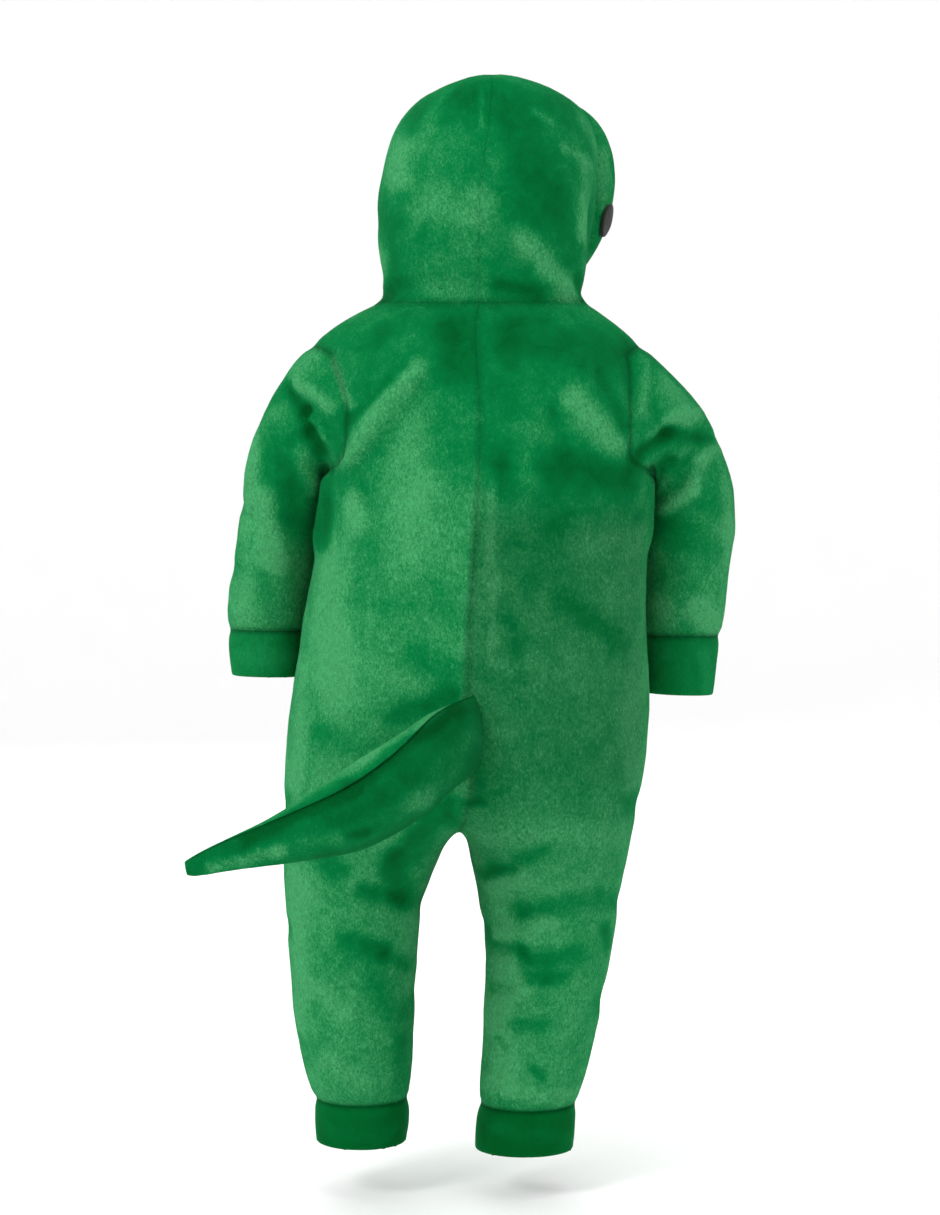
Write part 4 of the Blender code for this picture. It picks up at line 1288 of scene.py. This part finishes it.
# The studio's bowl: how far its flat floor reaches, its curve's radius, its height and its steps.
BOWL_FLOOR = 3.4
BOWL_CURVE = 1.6
BOWL_HEIGHT = 3.6
BOWL_STEPS = 96
CURVE_STEPS = 12

Lamp = namedtuple("Lamp", "name x y z size power")
LAMPS = (
    Lamp("Key", 1.60, 1.80, 1.50, 1.0, 32.0),
    Lamp("Fill", -1.90, 1.90, 0.40, 2.0, 5.0),
    Lamp("Top", 0.00, 0.30, 2.20, 1.6, 16.0),
    Lamp("Far side", 0.60, -2.60, 1.20, 2.2, 20.0),
)
LAMP_AIM = Vector((0.0, 0.0, -0.20))


class ONESIE_OT_stage(bpy.types.Operator):
    """Set the camera, the lights, the world and the pale floor"""

    bl_idname = "onesie.stage"
    bl_label = "Studio"

    def execute(self, context):
        settings = context.scene.onesie_stage
        data = bpy.data.cameras.new("Camera")
        data.sensor_width = 36.0
        data.lens = settings.lens
        camera = bpy.data.objects.new("Camera", data)
        camera.location = settings.camera
        look = Vector(settings.aim) - camera.location
        camera.rotation_euler = look.to_track_quat("-Z", "Y").to_euler()
        context.scene.collection.objects.link(camera)
        context.scene.camera = camera
        context.scene.view_settings.view_transform = "Standard"
        for lamp in LAMPS:
            light = bpy.data.lights.new(lamp.name, "AREA")
            light.shape = "DISK"
            light.size = lamp.size
            light.energy = lamp.power
            obj = bpy.data.objects.new(lamp.name, light)
            obj.location = (lamp.x, lamp.y, lamp.z)
            obj.rotation_euler = (LAMP_AIM - obj.location).to_track_quat("-Z", "Y").to_euler()
            context.scene.collection.objects.link(obj)
        world = bpy.data.worlds.new("Daylight")
        world.use_nodes = True
        background = world.node_tree.nodes["Background"]
        background.inputs["Color"].default_value = (1.0, 1.0, 1.0, 1.0)
        background.inputs["Strength"].default_value = settings.daylight
        context.scene.world = world
        make_bowl(CAD_LOW.z - settings.floor_drop)
        return {"FINISHED"}


def make_bowl(floor):
    """A pale floor that curves up into a backdrop all round."""
    outline = [(0.0, 0.0), (BOWL_FLOOR, 0.0)]
    for i in range(1, CURVE_STEPS + 1):
        angle = math.pi / 2 * i / CURVE_STEPS
        away = BOWL_FLOOR + BOWL_CURVE * math.sin(angle)
        outline.append((away, BOWL_CURVE * (1 - math.cos(angle))))
    outline.append((BOWL_FLOOR + BOWL_CURVE, BOWL_HEIGHT))
    mesh = lathed([(away, floor + height) for away, height in outline], BOWL_STEPS)
    if sum(face.normal.z for face in mesh.faces) < 0:
        bmesh.ops.reverse_faces(mesh, faces=mesh.faces)
    material, shader = new_material("studio_paper")
    tree = material.node_tree
    tone = bpy.context.scene.onesie_stage.floor
    fleck = noise_value(tree, object_place(tree), 6.0, 2.0)
    tree.links.new(mixed(tree, fleck, scaled(tone, 0.985), tone), shader.inputs["Base Color"])
    set_inputs(shader, {"Roughness": 1.0, "Specular IOR Level": 0.0})
    new_object("studio_floor", mesh, material)


OPERATORS = (
    ONESIE_OT_skin, ONESIE_OT_panels, ONESIE_OT_sleeves, ONESIE_OT_cuffs, ONESIE_OT_hood,
    ONESIE_OT_tail, ONESIE_OT_placket, ONESIE_OT_snaps, ONESIE_OT_patches, ONESIE_OT_stage,
)


class ONESIE_PT_panel(bpy.types.Panel):
    """The onesie's settings and steps"""

    bl_idname = "ONESIE_PT_panel"
    bl_label = "Plush onesie"
    bl_space_type = "VIEW_3D"
    bl_region_type = "UI"
    bl_category = "Onesie"

    def draw(self, context):
        for settings in (
            context.scene.onesie_cloth, context.scene.onesie_plush, context.scene.onesie_stage
        ):
            box = self.layout.box()
            for name in settings.bl_rna.properties.keys():
                if name not in ("rna_type", "name"):
                    box.prop(settings, name)
        for operator in OPERATORS:
            self.layout.operator(operator.bl_idname)


SETTINGS = (
    ("onesie_cloth", OnesieClothSettings),
    ("onesie_plush", OnesiePlushSettings),
    ("onesie_stage", OnesieStageSettings),
)


def register():
    for name, settings in SETTINGS:
        bpy.utils.register_class(settings)
        setattr(bpy.types.Scene, name, PointerProperty(type=settings))
    for operator in OPERATORS:
        bpy.utils.register_class(operator)
    bpy.utils.register_class(ONESIE_PT_panel)


def unregister():
    bpy.utils.unregister_class(ONESIE_PT_panel)
    for operator in reversed(OPERATORS):
        bpy.utils.unregister_class(operator)
    for name, settings in reversed(SETTINGS):
        delattr(bpy.types.Scene, name)
        bpy.utils.unregister_class(settings)


def main():
    register()
    bpy.ops.onesie.skin()
    bpy.ops.onesie.panels()
    bpy.ops.onesie.sleeves()
    bpy.ops.onesie.cuffs()
    bpy.ops.onesie.hood()
    bpy.ops.onesie.tail()
    bpy.ops.onesie.placket()
    bpy.ops.onesie.snaps()
    bpy.ops.onesie.patches()
    bpy.ops.onesie.stage()
    bpy.data.objects.remove(bpy.data.objects[SKIN])


if __name__ == "__main__":
    main()
